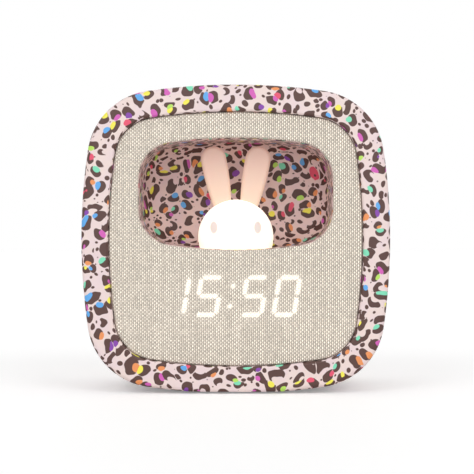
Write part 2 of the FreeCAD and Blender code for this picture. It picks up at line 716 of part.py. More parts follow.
def niche_bowl():
    """Printed bowl behind the window, with a hole in its floor for the rabbit's head."""
    body = new_body("bowl_blank")

    sketch = upright_sketch(body, "bowl_outside", "panel_back", "window_height")
    draw_window(sketch, "bowl_wall")
    add(body, sketch, "bowl_back + bowl_wall - panel_back")
    rear = rims(body.Shape, size("bowl_back + bowl_wall"), window_radii("bowl_wall"))
    dress(body, "Fillet", "bowl_rear_edge", rear, "bowl_round + bowl_wall")

    sketch = upright_sketch(body, "flange", "panel_back", "window_height")
    draw_window(sketch, "bowl_flange")
    add(body, sketch, "flange_thick")

    bosses = [(f"{side}lamp_screw_x", "0") for side in ("-", "")]
    top = "head_foot + small_bite + 1"
    sketch = level_sketch(body, "lamp_bosses", "head_foot", "head_y")
    draw_circles(sketch, bosses, "small_head + 0.6")
    add(body, sketch, f"{top} - head_foot")

    sketch = upright_sketch(body, "flange_holes", "panel_back", "window_height")
    draw_circles(sketch, BOWL_POSTS, "bowl_post_radius + post_clearance")
    take(body, sketch, "flange_thick")

    sketch = level_sketch(body, "lamp_boss_pilots", "head_foot", "head_y")
    draw_circles(sketch, bosses, "small_shank")
    take(body, sketch, "small_bite")

    oval = doc.addObject("Part::Ellipse", "neck_oval")
    bind(oval, MajorRadius="neck_half_width", MinorRadius="neck_half_depth")
    put(oval, "0", "head_y", "head_foot")
    neck = doc.addObject("Part::Extrusion", "neck_hole")
    neck.Base = oval
    neck.DirMode = "Custom"
    neck.Dir = Vector(0, 0, 1)
    neck.Solid = True
    bind(neck, LengthFwd="window_height - window_half_height - head_foot + 5")
    hollow = new_body("bowl_hollow")
    sketch = upright_sketch(hollow, "bowl_inside", "panel_back", "window_height")
    draw_window(sketch, "-bowl_inset")
    add(hollow, sketch, "bowl_back - panel_back")
    rear = rims(hollow.Shape, size("bowl_back"), window_radii("-bowl_inset"))
    dress(hollow, "Fillet", "bowl_bottom_edge", rear, "bowl_round")
    return cut("niche_bowl", body, joined("bowl_space", [hollow, neck]))


# Rabbit lamp

def ellipsoid(name, inset):
    thing = doc.addObject("Part::Ellipsoid", name)
    bind(thing, Radius1=f"head_half_height - {inset}", Radius2=f"head_half_width - {inset}")
    bind(thing, Radius3=f"head_half_depth - {inset}")
    return put(thing, "0", "head_y", "head_height")


def ear(name, side):
    """Flat rounded ear that plugs into the head, drawn upright and then leaned outwards."""
    body = new_body(name)
    names = ("ear_half_width", "ear_tip_radius", "ear_side_radius", "ear_widest")
    half, tip, flank, widest = (size(alias) for alias in names)
    rise = math.sqrt((flank - tip) ** 2 - (flank - half) ** 2)
    lean = math.atan2(rise, flank - half)
    drop = math.asin(widest / flank)
    sketch = upright_sketch(body, f"{name}_outline", "-ear_thick / 2")
    root = flank * math.cos(drop) - flank + half
    sketch.addGeometry(
        [
            Part.LineSegment(Vector(-root, 0, 0), Vector(root, 0, 0)),
            arc(half - flank, widest, flank, -drop, lean),
            arc(0, widest + rise, tip, lean, math.pi - lean),
            arc(flank - half, widest, flank, math.pi - lean, math.pi + drop),
        ],
        False,
    )
    sketch.addConstraint(Constraint("PointOnObject", 0, 1, -1))
    sketch.addConstraint(Constraint("PointOnObject", 0, 2, -1))
    sketch.addConstraint(Constraint("Coincident", 0, 2, 1, 1))
    sketch.addConstraint(Constraint("Tangent", 1, 2, 2, 1))
    sketch.addConstraint(Constraint("Tangent", 2, 2, 3, 1))
    sketch.addConstraint(Constraint("Coincident", 3, 2, 0, 1))
    sketch.addConstraint(Constraint("PointOnObject", 2, 3, -2))
    sketch.addConstraint(Constraint("Equal", 1, 3))
    radius_of(sketch, 1, "ear_side_radius")
    radius_of(sketch, 2, "ear_tip_radius")
    datum(sketch, "DistanceX", 1, 3, "ear_half_width - ear_side_radius")
    datum(sketch, "DistanceY", 1, 3, "ear_widest")
    datum(sketch, "DistanceY", 3, 3, "ear_widest")
    add(body, sketch, "ear_thick")
    faces = [size("-ear_thick / 2"), size("ear_thick / 2")]
    edges = [edge for depth in faces for edge in rims(body.Shape, depth, (tip, flank))]
    dress(body, "Fillet", f"{name}_edges", edges, "ear_edge_round")
    body.Placement = Placement(Vector(), Rotation(Vector(0, 1, 0), side * size("ear_lean")))
    bind(body, Placement__Base__x=f"{side} * ear_root_x", Placement__Base__y="head_y")
    bind(body, Placement__Base__z="ear_root_height")
    return body


def rabbit_head(ears):
    """Hollow translucent dome with a foot that is clamped under the bowl's floor."""
    outer = ellipsoid("head_outside", "0")
    wide = "head_half_width + 1"
    above = block(
        "above_foot", f"-({wide})", wide, f"head_y - ({wide})", f"head_y + {wide}",
        "head_foot + head_foot_thick - 0.2", "head_height + head_half_height + 1",
    )
    dome = doc.addObject("Part::Common", "dome")
    dome.Base, dome.Tool = outer, above
    half, wide = "neck_half_depth - 0.7", "head_foot_half_width"
    base = block(
        "head_base", f"-{wide}", wide, f"head_y - ({half})", f"head_y + {half}",
        "head_foot", "head_foot + head_foot_thick",
    )
    solid = joined("head_solid", [dome, base])
    hollow = cut("head_hollow", solid, ellipsoid("head_inside", "head_wall"))
    slots = joined("ear_slots", ears)
    return cut("rabbit_head", hollow, slots)


def lamp_holder():
    """Tray that clamps the head from below and carries the lamp board."""
    body = new_body("lamp_holder")
    sketch = level_sketch(body, "tray", "lamp_low", "head_y")
    draw_rounded(sketch, "-lamp_half_width", "lamp_half_width", "-lamp_half_depth", "lamp_half_depth", "2")
    add(body, sketch, "head_foot - lamp_low")
    sketch = level_sketch(body, "tray_ears", "lamp_seat", "head_y")
    reach = "lamp_screw_x + 3.4"
    draw_rounded(sketch, f"-({reach})", reach, "-3.6", "3.6", "3")
    add(body, sketch, "head_foot - lamp_seat")
    sketch = level_sketch(body, "tray_recess", "lamp_low", "head_y")
    x, y = "lamp_half_width - lamp_wall", "lamp_half_depth - lamp_wall"
    draw_rounded(sketch, f"-({x})", x, f"-({y})", y, "1")
    take(body, sketch, "lamp_seat - lamp_low")
    sketch = level_sketch(body, "tray_light", "lamp_seat", "head_y")
    x, y = "lamp_window_half_width", "lamp_window_half_depth"
    draw_rounded(sketch, f"-{x}", x, f"-{y}", y, "1.5")
    take(body, sketch, "head_foot - lamp_seat")
    sketch = level_sketch(body, "tray_holes", "lamp_seat", "head_y")
    draw_circles(sketch, [(f"{side}lamp_screw_x", "0") for side in ("-", "")], "small_shank + 0.2")
    take(body, sketch, "head_foot - lamp_seat")
    sketch = level_sketch(body, "tray_pilots", "lamp_seat", "head_y")
    draw_circles(sketch, LAMP_BOARD_SCREWS, "small_shank")
    take(body, sketch, "head_foot - lamp_seat")
    return body


LAMP_BOARD_SCREWS = [("-lamp_window_half_width - 3", "0"), ("lamp_window_half_width + 3", "0")]


def lamp_board():
    body = new_body("lamp_board")
    sketch = level_sketch(body, "lamp_board_outline", "lamp_seat - lamp_board_thick", "head_y")
    x, y = "lamp_half_width - lamp_wall - 0.3", "lamp_half_depth - lamp_wall - 0.3"
    draw_rounded(sketch, f"-({x})", x, f"-({y})", y, "1")
    draw_circles(sketch, LAMP_BOARD_SCREWS, "small_shank")
    add(body, sketch, "lamp_board_thick")
    return body


def lamp_leds():
    """Six small lamps on the board, under the head."""
    x, y = "led_half_width", "led_half_depth"
    chip = group("lamp_chip", [block("lamp_chip_body", f"-{x}", x, f"-{y}", y, "0", "led_height")])
    places = [
        (f"{x} * led_pitch_x", f"head_y + {y} * led_pitch_y / 2", "lamp_seat")
        for x in (-1, 0, 1)
        for y in (-1, 1)
    ]
    return copies("lamp_leds", chip, places)


# Display

def bar(x, z, length, upright):
    """Corners of one bar of a digit, a long hexagon about its middle."""
    half, end = size("segment_width") / 2, length / 2
    upper = [(-end, 0), (half - end, half), (end - half, half)]
    points = upper + [(-a, -b) for a, b in upper]
    if upright:
        points = [(b, a) for a, b in points]
    return [(x + a, z + b) for a, b in points]


def digit_bars(lit):
    """The seven bars of a digit about its middle, each with whether it is lit."""
    reach = (size("digit_height") - size("segment_width")) / 2
    side, gap = size("segment_span") / 2, size("segment_gap")
    across, tall = 2 * side - gap, reach - gap
    bars = {
        "a": (0, reach, across, False), "g": (0, 0, across, False), "d": (0, -reach, across, False),
        "b": (side, reach / 2, tall, True), "c": (side, -reach / 2, tall, True),
        "f": (-side, reach / 2, tall, True), "e": (-side, -reach / 2, tall, True),
    }
    return [(bar(*bars[name]), name in lit) for name in "abcdefg"]


def leaned(x, z):
    """A point of the display, about its middle, leaned with the digits and put in its place."""
    lean = math.tan(math.radians(size("digit_slant")))
    return Vector(size("display_x") + x + z * lean, 0, size("display_height") + z)


def display_faces():
    """Flat outlines of all bars and dots, each with its middle and whether it is lit."""
    inner, outer = size("colon_pitch") / 2, size("colon_pitch") / 2 + size("digit_pitch")
    faces = []
    for middle, lit in zip((-outer, -inner, inner, outer), ("bc", "afgcd", "afgcd", "abcdef")):
        for corners, on in digit_bars(lit):
            points = [leaned(middle + x, z) for x, z in corners]
            faces.append((Part.Face(Part.makePolygon(points + points[:1])), on))
    for z in (-size("colon_half_gap"), size("colon_half_gap")):
        circle = Part.Circle(leaned(0, z), Vector(0, 1, 0), size("dot_radius"))
        faces.append((Part.Face(Part.Wire(circle.toShape())), True))
    return faces


def extruded(face, near, far):
    """A face of the display made a solid between two depths."""
    moved = face.translated(Vector(0, near, 0))
    return moved.extrude(Vector(0, far - near, 0))


def display_pieces():
    """Block with a well behind each bar, the diffusers in the wells, and the lamps behind them."""
    front, back = size(DEEP), size("display_back")
    faces = display_faces()
    half_x, half_z = size("display_half_width"), size("display_half_height")
    corner = Vector(size("display_x") - half_x, front, size("display_height") - half_z)
    solid = Part.makeBox(2 * half_x, back - front, 2 * half_z, corner)
    wells = [extruded(face, front, back) for face, _ in faces]
    shaped("display_reflector", solid.cut(wells))
    inset = front + size("diffuser_thick")
    for name, wanted in (("display_bars_lit", True), ("display_bars_dark", False)):
        shaped(name, Part.Compound([extruded(face, front, inset) for face, on in faces if on == wanted]))
    chips = []
    for face, _ in faces:
        middle = face.CenterOfMass
        chips.append(Part.makeBox(1.4, 1.0, 0.9, Vector(middle.x - 0.7, back - 1.0, middle.z - 0.45)))
    shaped("display_leds", Part.Compound(chips))


def display_board():
    body = new_body("display_board")
    sketch = upright_sketch(body, "display_board_outline", "display_back", "display_height", "display_x")
    x, z = "display_post_x + post_radius + 0.6", "display_half_height + 0.5"
    draw_rounded(sketch, f"-({x})", x, f"-({z})", z, "1.5")
    draw_circles(sketch, DISPLAY_POSTS, "small_shank + 0.2")
    add(body, sketch, "display_board_thick")
    return body


# Screws

def screw(name, shank, head, head_thick, bite, rotation):
    """A screw at the origin: its head beyond the seat, its shank the other way along the axis."""
    axis = rotation.multVec(Vector(0, 0, 1))
    top = rod(f"{name}_head", head, head_thick, "0", "0", "0", rotation)
    under = [f"{value} * ({bite})" for value in (-axis.x, -axis.y, -axis.z)]
    pin = rod(f"{name}_shank", shank, f"{bite} + {head_thick} / 2", *under, rotation)
    whole = joined(f"{name}_solid", [top, pin])
    start = [f"{value} * {head_thick} / 2" for value in (axis.x, axis.y, axis.z)]
    recess = cone(f"{name}_recess", f"{head} * 0.25", f"{head} * 0.5", head_thick, *start, rotation)
    return cut(f"{name}_piece", whole, recess)


def small_screw(name, rotation, under=""):
    """A small screw; under is the thickness that it passes through before it bites."""
    return screw(name, "small_shank", "small_head", "small_head_thick", f"small_bite{under}", rotation)


def screws():
    short = small_screw("short_screw", BACKWARD)
    panel = [(x, "panel_back + ledge_thick", f"centre_height + {z}") for x, z in PANEL_POSTS]
    copies("panel_screws", short, panel)
    bowl = [(x, "panel_back + flange_thick", f"window_height + {z}") for x, z in BOWL_POSTS]
    copies("bowl_screws", short, bowl)

    through = small_screw("display_screw", BACKWARD, " + display_board_thick")
    seat = "display_back + display_board_thick"
    board = [(f"display_x + {x}", seat, f"display_height + {z}") for x, z in DISPLAY_POSTS]
    copies("display_screws", through, board)

    lamp = small_screw("lamp_screw", DOWNWARD, " + head_foot - lamp_seat")
    copies("lamp_screws", lamp, [(f"{side}lamp_screw_x", "head_y", "lamp_seat") for side in ("-", "")])
    stub = screw("stub_screw", "small_shank", "small_head * 0.8", "1", "lamp_board_thick + 1.6", DOWNWARD)
    places = [(x, "head_y", "lamp_seat - lamp_board_thick") for x, _ in LAMP_BOARD_SCREWS]
    copies("lamp_board_screws", stub, places)

    board = small_screw("board_screw", FORWARD, " + board_thick")
    copies("board_screws", board, [(x, "board_front", z) for x, z in BOARD_SCREWS])

    cover = screw("cover_screw", "cover_shank", "cover_head", "cover_head_thick", "cover_bite", BACKWARD)
    copies("cover_screws", cover, [(x, "cover_seat", f"centre_height + {z}") for x, z in COLUMNS])

    speaker = small_screw("speaker_screw", FORWARD)
    rim = f"{INNER_FACE} - gasket_thick - speaker_rim_thick"
    copies("speaker_screws", speaker, [(x, rim, z) for x, z in speaker_screw_places()])


def speaker_screw_places():
    """Three places round the speaker, evenly spaced, with one at the top."""
    places = []
    for turn in (90, 210, 330):
        angle = math.radians(turn)
        x = f"{math.cos(angle):.6f} * speaker_screw_radius"
        places.append((x, f"speaker_height + {math.sin(angle):.6f} * speaker_screw_radius"))
    return places


# Rear cover and controls

def rear_cover():
    """Plain cover with the controls, the sound slots and the four screw tubes."""
    body = new_body("rear_cover")

    sketch = upright_sketch(body, "cover", "parting_plane", "centre_height")
    draw_case(sketch, "0")
    add(body, sketch, "rear_plane - parting_plane")
    rear = rims(body.Shape, size("rear_plane"), case_radii("0"))
    dress(body, "Fillet", "cover_edge", rear, "rear_round")
    seam = rims(body.Shape, size("parting_plane"), case_radii("0"))
    dress(body, "Chamfer", "cover_seam", seam, "seam_chamfer")

    # The lip reaches into the housing, and the hollow runs through it.
    sketch = upright_sketch(body, "lip", "parting_plane - lip_reach", "centre_height")
    draw_case(sketch, "wall + lip_fit")
    add(body, sketch, "lip_reach + 0.2")
    sketch = upright_sketch(body, "cover_inside", "parting_plane - lip_reach", "centre_height")
    draw_case(sketch, "wall + lip_fit + lip_thick")
    take(body, sketch, f"{INNER_FACE} + lip_reach - parting_plane")
    inner = rims(body.Shape, size(INNER_FACE), case_radii("wall + lip_fit + lip_thick"))
    dress(body, "Fillet", "cover_inner_edge", inner, "rear_round - cover_thick - 1")

    sketch = upright_sketch(body, "control_pad", "control_inner")
    x = "control_half_width + 2"
    draw_rounded(sketch, f"-({x})", x, "control_low - 2", "control_high + 2", "control_corner + 2")
    add(body, sketch, f"{INNER_FACE} - control_inner + 0.2")

    sketch = upright_sketch(body, "screw_tubes", "column_end", "centre_height")
    draw_circles(sketch, COLUMNS, "tube_radius")
    add(body, sketch, f"{INNER_FACE} - column_end + 0.2")
    sketch = upright_sketch(body, "board_posts", BOARD_REAR)
    draw_circles(sketch, BOARD_SCREWS, "tube_radius - 1")
    add(body, sketch, f"{INNER_FACE} - ({BOARD_REAR}) + 0.2")
    sketch = upright_sketch(body, "speaker_posts", f"{INNER_FACE} - gasket_thick - speaker_rim_thick")
    draw_circles(sketch, speaker_screw_places(), "small_head + 0.2")
    add(body, sketch, "gasket_thick + speaker_rim_thick + 0.2")
    rim = f"{INNER_FACE} - gasket_thick - speaker_rim_thick"
    sketch = upright_sketch(body, "speaker_well", rim, "speaker_height")
    draw_circles(sketch, [("0", "0")], "speaker_radius + 0.2")
    take(body, sketch, "gasket_thick + speaker_rim_thick")

    sketch = upright_sketch(body, "control_recess", "rear_plane - control_depth")
    x = "control_half_width"
    draw_rounded(sketch, f"-{x}", x, "control_low", "control_high", "control_corner")
    take(body, sketch, "control_depth + 1")

    for name, (x, z, radius) in BUTTONS.items():
        sketch = upright_sketch(body, f"{name}_hole", "control_inner")
        draw_circles(sketch, [(x, z)], f"{radius} + button_fit")
        take(body, sketch, "rear_plane - control_inner")

    sketch = upright_sketch(body, "slide_slot", "control_inner", "lower_row")
    x = "slide_half_width + slide_travel / 2 + button_fit"
    z = "slide_half_height + button_fit"
    draw_rounded(sketch, f"-({x})", x, f"-({z})", z, "0.6")
    take(body, sketch, "rear_plane - control_inner")

    sketch = upright_sketch(body, "plug_recess", "rear_plane - plug_recess_depth", "socket_height")
    x, z = "plug_recess_half_width", "plug_recess_half_height"
    draw_rounded(sketch, f"-{x}", x, f"-{z}", z, f"{z} - 0.8")
    take(body, sketch, "plug_recess_depth")
    sketch = upright_sketch(body, "socket_hole", "board_front", "socket_height")
    x, z = "socket_half_width + 0.25", "socket_radius + 0.25"
    draw_rounded(sketch, f"-({x})", x, f"-({z})", z, "socket_radius + 0.2")
    take(body, sketch, "rear_plane - board_front")
    sketch = upright_sketch(body, "reset_hole", "board_front", "socket_height")
    draw_circles(sketch, [("reset_x", "0")], "reset_radius")
    take(body, sketch, "rear_plane - board_front")

    sketch = upright_sketch(body, "sound_slots", "control_inner", "speaker_height")
    for step in range(-3, 4):
        reach = size("grille_radius")
        half = math.sqrt(reach**2 - (step * size("slot_pitch")) ** 2)
        low, high = f"{step} * slot_pitch - slot_radius", f"{step} * slot_pitch + slot_radius"
        draw_rounded(sketch, f"-{half:.3f}", f"{half:.3f}", low, high, "slot_radius - 0.02")
    take(body, sketch, "rear_plane - control_inner")

    sketch = upright_sketch(body, "counterbores", "cover_seat", "centre_height")
    draw_circles(sketch, COLUMNS, "counterbore_radius")
    take(body, sketch, "rear_plane - cover_seat")
    sketch = upright_sketch(body, "screw_holes", "column_end", "centre_height")
    draw_circles(sketch, COLUMNS, "cover_shank + 0.2")
    take(body, sketch, "cover_seat - column_end")
    sketch = upright_sketch(body, "board_pilots", BOARD_REAR)
    draw_circles(sketch, BOARD_SCREWS, "small_shank")
    take(body, sketch, "small_bite")
    sketch = upright_sketch(body, "speaker_pilots", f"{INNER_FACE} - gasket_thick - speaker_rim_thick")
    draw_circles(sketch, speaker_screw_places(), "small_shank")
    take(body, sketch, "small_bite")

    sketch = level_sketch(body, "cover_flat_base", "base_height - 5")
    draw_rectangle(sketch, "-body_half", "body_half", "-body_half", "body_half")
    take(body, sketch, "5")
    return body


def button(name, x, z, radius):
    """Round cap, retaining flange and stem, with the switch plunger that it rests on."""
    cap = rod(f"{name}_cap", radius, "button_top - button_flange_front", x, "button_flange_front", z)
    rim = rod(f"{name}_rim", f"{radius} + button_flange", "button_flange_thick", x, "button_flange_front", z)
    stem = rod(f"{name}_stem", "stem_radius", "button_flange_front - plunger_tip + 0.2", x, "plunger_tip", z)
    solid = joined(f"{name}_solid", [cap, rim, stem])
    ball = doc.addObject("Part::Sphere", f"{name}_ball")
    curve = f"({radius} * {radius} / 2 / button_dish)"
    bind(ball, Radius=curve)
    put(ball, x, f"button_top - button_dish * 0.8 + {curve}", z)
    cut(f"button_{name}", solid, ball)
    rod(f"plunger_{name}", "plunger_radius", "plunger_tip - plunger_root", x, "plunger_root", z)


def switches():
    """Five push switches on the main board, each with a well for its plunger."""
    half = "switch_half"
    base = block("switch_base", f"-{half}", half, "0", f"switch_top - ({BOARD_REAR})", f"-{half}", half)
    floor = f"switch_floor - ({BOARD_REAR})"
    well = rod("switch_well", "plunger_radius + 0.1", "switch_top - switch_floor", "0", floor, "0")
    piece = cut("switch_piece", base, well)
    copies("push_switches", piece, [(x, BOARD_REAR, z) for x, z, _ in BUTTONS.values()])


def alarm_slide():
    """Slide knob with its flange behind the cover, its lever, and the switch under it."""
    front = "button_flange_front + 0.2"

    def beside(name, half, y_low, y_high, tall):
        """A block about the slide's place at rest."""
        low, high = f"slide_rest - ({half})", f"slide_rest + {half}"
        return block(name, low, high, y_low, y_high, f"lower_row - ({tall})", f"lower_row + {tall}")

    grip = beside("slide_grip", "slide_half_width", front, "slide_top", "slide_half_height")
    behind = f"{front} + slide_flange_thick"
    plate = beside("slide_plate", "slide_flange_half", front, behind, "slide_flange_height")
    grooves = []
    for n in (-1, 0, 1):
        x = f"slide_rest + {n} * groove_pitch"
        low, high = "lower_row - slide_half_height - 1", "lower_row + slide_half_height + 1"
        grooves.append(
            block(
                f"slide_groove_{n + 2}", f"{x} - groove_half", f"{x} + groove_half",
                "slide_top - groove_depth", "slide_top + 1", low, high,
            )
        )
    hole = "lever_half + 0.1"
    pocket = beside("slide_pocket", hole, f"{front} - 1", f"{front} + 2", hole)
    cut("alarm_knob", joined("knob_solid", [grip, plate]), joined("knob_cuts", grooves + [pocket]))
    beside("slide_lever", "lever_half", "slide_body_top - lever_sunk", f"{front} + 1.8", "lever_half")

    x, z = "slide_body_half", "slide_body_height"
    shell = block(
        "slide_shell", f"-{x}", x, BOARD_REAR, "slide_body_top", f"lower_row - {z}", f"lower_row + {z}"
    )
    x, z = "lever_half + slide_travel / 2 + 0.2", "lever_half + 0.2"
    track = block(
        "slide_track", f"-({x})", x, "slide_body_top - lever_sunk - 0.2", "slide_body_top + 1",
        f"lower_row - ({z})", f"lower_row + {z}",
    )
    cut("slide_switch", shell, track)


def power_socket():
    """Sheet-metal sleeve of the power socket, open at the back, with its tongue."""
    body = new_body("power_socket")
    sketch = upright_sketch(body, "socket_sleeve", BOARD_REAR, "socket_height")
    wide, tall = "socket_half_width", "socket_radius"
    draw_rounded(sketch, f"-{wide}", wide, f"-{tall}", tall, f"{tall} - 0.05")
    add(body, sketch, f"socket_mouth - ({BOARD_REAR})")
    sketch = upright_sketch(body, "socket_space", f"{BOARD_REAR} + socket_block", "socket_height")
    x, z = "socket_half_width - socket_skin", "socket_radius - socket_skin"
    draw_rounded(sketch, f"-({x})", x, f"-({z})", z, f"{z} - 0.05")
    take(body, sketch, f"socket_mouth - ({BOARD_REAR})")
    sketch = upright_sketch(body, "socket_tongue", f"{BOARD_REAR} + socket_block - 0.4", "socket_height")
    x, z = "tongue_half_width", "tongue_half_thick"
    draw_rectangle(sketch, f"-{x}", x, f"-{z}", z)
    add(body, sketch, f"socket_mouth - ({BOARD_REAR}) - socket_block - 0.6")
    return body


def main_board():
    body = new_body("main_board")
    sketch = upright_sketch(body, "main_board_outline", "board_front")
    draw_rounded(sketch, "-board_half_width", "board_half_width", "board_low", "board_high", "2")
    draw_circles(sketch, BOARD_SCREWS, "small_shank + 0.2")
    add(body, sketch, "board_thick")
    return body


# Connectors on the main board: place across it and half width
PLUGS = {
    "display": (-26, "ribbon_plug_half"),
    "lamp": (-10, "plug_half"),
    "speaker": (10, "plug_half"),
    "battery": (22, "plug_half"),
}


def board_parts():
    """Electronic parts on the main board: processor, memory, reset switch, cans and connectors."""
    high = f"{BOARD_REAR} + chip_thick"
    z_low, z_high = "socket_height - 2", "socket_height + 2"
    chips = [
        block("processor", "processor_x - 4.5", "processor_x + 4.5", BOARD_REAR, high, "37", "46"),
        block("memory", "memory_x - 3", "memory_x + 3", BOARD_REAR, high, "40", "45"),
        block("reset_switch", "reset_x - 2", "reset_x + 2", BOARD_REAR, f"{high} + 0.6", z_low, z_high),
    ]
    group("board_chips", chips)
    places = (("-can_x", "27"), ("can_x", "27"), ("can_x", "52"))
    cans = [rod(f"can_{n}", "can_radius", "can_height", x, BOARD_REAR, z) for n, (x, z) in enumerate(places)]
    group("capacitors", cans)
    depth_and_height = "plug_front", "board_front", "plug_low", "plug_high"
    plugs = [
        block(f"plug_{name}", f"{x} - {half}", f"{x} + {half}", *depth_and_height)
        for name, (x, half) in PLUGS.items()
    ]
    group("board_connectors", plugs)


def battery():
    """Flat rechargeable pack, stuck to the front of the main board."""
    body = new_body("battery_pack")
    sketch = upright_sketch(body, "battery_outline", "battery_front")
    draw_rounded(sketch, "battery_left", "battery_right", "battery_low", "battery_high", "1.5")
    add(body, sketch, "battery_rear - battery_front")
    numbered = enumerate(body.Shape.Edges, start=1)
    edges = [f"Edge{number}" for number, edge in numbered if edge.BoundBox.YLength < 1e-6]
    dress(body, "Fillet", "battery_edges", edges, "battery_round")
    block(
        "battery_tape", "battery_left + tape_inset", "battery_right - tape_inset",
        "battery_rear", "board_front", "battery_low + tape_inset", "battery_high - tape_inset",
    )


# Speaker

def speaker():
    """Round speaker behind the sound slots, its cone towards them."""
    rim_rear, z = f"{INNER_FACE} - gasket_thick", "speaker_height"
    rim_front = f"{rim_rear} - speaker_rim_thick"
    rim = rod("speaker_rim", "speaker_radius", "speaker_rim_thick", "0", rim_rear, z, FORWARD)
    wide, narrow = "speaker_radius - 1.5", "magnet_radius + 1"
    basket = cone("speaker_basket", wide, narrow, "basket_depth", "0", rim_front, z, FORWARD)
    magnet = rod("speaker_magnet", "magnet_radius", "5", "0", f"{rim_front} - basket_depth + 0.2", z, FORWARD)
    solid = joined("speaker_solid", [rim, basket, magnet])
    dish = cone("speaker_dish", "speaker_radius - 3", "5", "basket_depth - 1", "0", rim_rear, z, FORWARD)
    cut("speaker", solid, dish)
    outer = rod("gasket_outside", "speaker_radius", "gasket_thick", "0", rim_rear, z)
    inner = rod("gasket_inside", "speaker_radius - 3", "gasket_thick", "0", rim_rear, z)
    cut("speaker_gasket", outer, inner)


# Wires

def route(points, bend):
    """Straight runs joined by tangent arcs of one radius, through the given points."""
    edges, start = [], points[0]
    for before, corner, after in zip(points, points[1:], points[2:]):
        back, on = (before - corner).normalize(), (after - corner).normalize()
        half = back.getAngle(on) / 2
        reach = bend / math.tan(half)
        enter, leave = corner + back * reach, corner + on * reach
        middle = corner + (back + on).normalize() * (bend / math.sin(half) - bend)
        edges += [Part.LineSegment(start, enter).toShape(), Part.Arc(enter, middle, leave).toShape()]
        start = leave
    edges.append(Part.LineSegment(start, points[-1]).toShape())
    return Part.Wire(edges)


def wires(name, places, bend=3.0):
    """A pair of wires side by side along one route."""
    tubes = []
    for shift in (-size("wire_pitch") / 2, size("wire_pitch") / 2):
        points = [Vector(*place) + Vector(shift, 0, 0) for place in places]
        path = route(points, bend)
        start = points[1] - points[0]
        ring = Part.Wire(Part.Circle(points[0], start, size("wire_radius")).toShape())
        tube = path.makePipeShell([ring], True, True)
        expected = math.pi * size("wire_radius") ** 2 * path.Length
        if abs(tube.Volume / expected - 1) > 0.01:
            raise RuntimeError(f"{name} has the wrong volume")
        tubes.append(tube)
    shaped(name, Part.Compound(tubes))


def wiring():
    """Wires and ribbon between the main board and the lamp, speaker, battery and display."""
    plug_y = (size("plug_front") + size("board_front")) / 2
    top, low = size("plug_high"), size("plug_low")
    y = size("head_y + lamp_half_depth - lamp_wall - 3")
    z = size("lamp_seat - lamp_board_thick")
    x, behind_bowl = PLUGS["lamp"][0], 12
    route_points = [(x, y, z), (x, y, z - 5), (x, behind_bowl, z - 5), (x, behind_bowl, top + 5)]
    wires("lamp_wires", route_points + [(x, plug_y, top + 5), (x, plug_y, top)], 2.2)

    x, z = PLUGS["speaker"][0], size("speaker_height - speaker_radius + 3.2")
    y = size(f"{INNER_FACE} - gasket_thick - speaker_rim_thick")
    route_points = [(x, y, z), (x, y - 5, z), (x, y - 5, z - 14), (x, plug_y, z - 22), (x, plug_y, top)]
    wires("speaker_wires", route_points, 2.4)

    x, high = PLUGS["battery"][0], size("battery_high")
    y = (size("battery_front") + size("battery_rear")) / 2
    route_points = [(x, y, high), (x, y, high + 1.6), (x, plug_y, low - 1.2), (x, plug_y, low)]
    wires("battery_wires", route_points, 0.9)

    # The ribbon is a flat band bent in the plane of constant X.
    half, thick = size("ribbon_half"), size("ribbon_thick")
    x, middle = PLUGS["display"][0] - half, (top + low) / 2
    y, z = size("display_back + display_board_thick"), size("display_height") + 6
    bends = ((y, z), (y + 6, z), (6, z - 10), (11, middle), (size("plug_front"), middle))
    path = route([Vector(x, *bend) for bend in bends], 2.5)
    corners = ((0, -1), (2 * half, -1), (2 * half, 1), (0, 1), (0, -1))
    section = Part.makePolygon([Vector(x + w, y, z + side * thick / 2) for w, side in corners])
    shaped("display_ribbon", path.makePipeShell([section], True, True))


# Building all pieces

front_housing()
foot("foot_front", "-foot_offset")
foot("foot_rear", "foot_offset")
front_panel()
fabric_cover()
niche_bowl()
ears = [ear("rabbit_ear_left", -1), ear("rabbit_ear_right", 1)]
rabbit_head(ears)
lamp_holder()
lamp_board()
lamp_leds()
display_pieces()
display_board()
rear_cover()
for button_name, (button_x, button_z, button_r) in BUTTONS.items():
    button(button_name, button_x, button_z, button_r)
switches()
alarm_slide()
power_socket()
main_board()
board_parts()
battery()
speaker()
screws()
wiring()
doc.recompute()

NODES = """
front_housing foot_front foot_rear front_panel fabric_cover niche_bowl
rabbit_head rabbit_ear_left rabbit_ear_right lamp_holder lamp_board lamp_leds
display_reflector display_bars_lit display_bars_dark display_leds display_board
rear_cover push_switches alarm_knob slide_lever slide_switch power_socket
main_board board_chips capacitors board_connectors battery_pack battery_tape
speaker speaker_gasket lamp_wires speaker_wires battery_wires display_ribbon
panel_screws bowl_screws display_screws lamp_screws lamp_board_screws
board_screws cover_screws speaker_screws
""".split()
NODES += [f"{kind}_{name}" for kind in ("button", "plunger") for name in BUTTONS]

for thing in doc.Objects:
    if "Invalid" in thing.State or "Error" in thing.State:
        raise RuntimeError(f"{thing.Label} is {thing.State}")

os.makedirs("parts", exist_ok=True)
for node in NODES:
    piece = doc.getObjectsByLabel(node)[0]
    if piece.Shape.isNull() or not piece.Shape.isValid():
        raise RuntimeError(f"{node} has no valid shape")
    if not piece.Shape.Solids:
        raise RuntimeError(f"{node} has no solid")
    piece.Shape.exportStep(f"parts/{node}.step")
    box = piece.Shape.optimalBoundingBox()
    print(
        f"{node}: {len(piece.Shape.Solids)} solids, {piece.Shape.Volume:.1f} mm3,"
        f" x {box.XMin:.2f}..{box.XMax:.2f}, y {box.YMin:.2f}..{box.YMax:.2f},"
        f" z {box.ZMin:.2f}..{box.ZMax:.2f}"
    )
print(f"{len(NODES)} nodes")
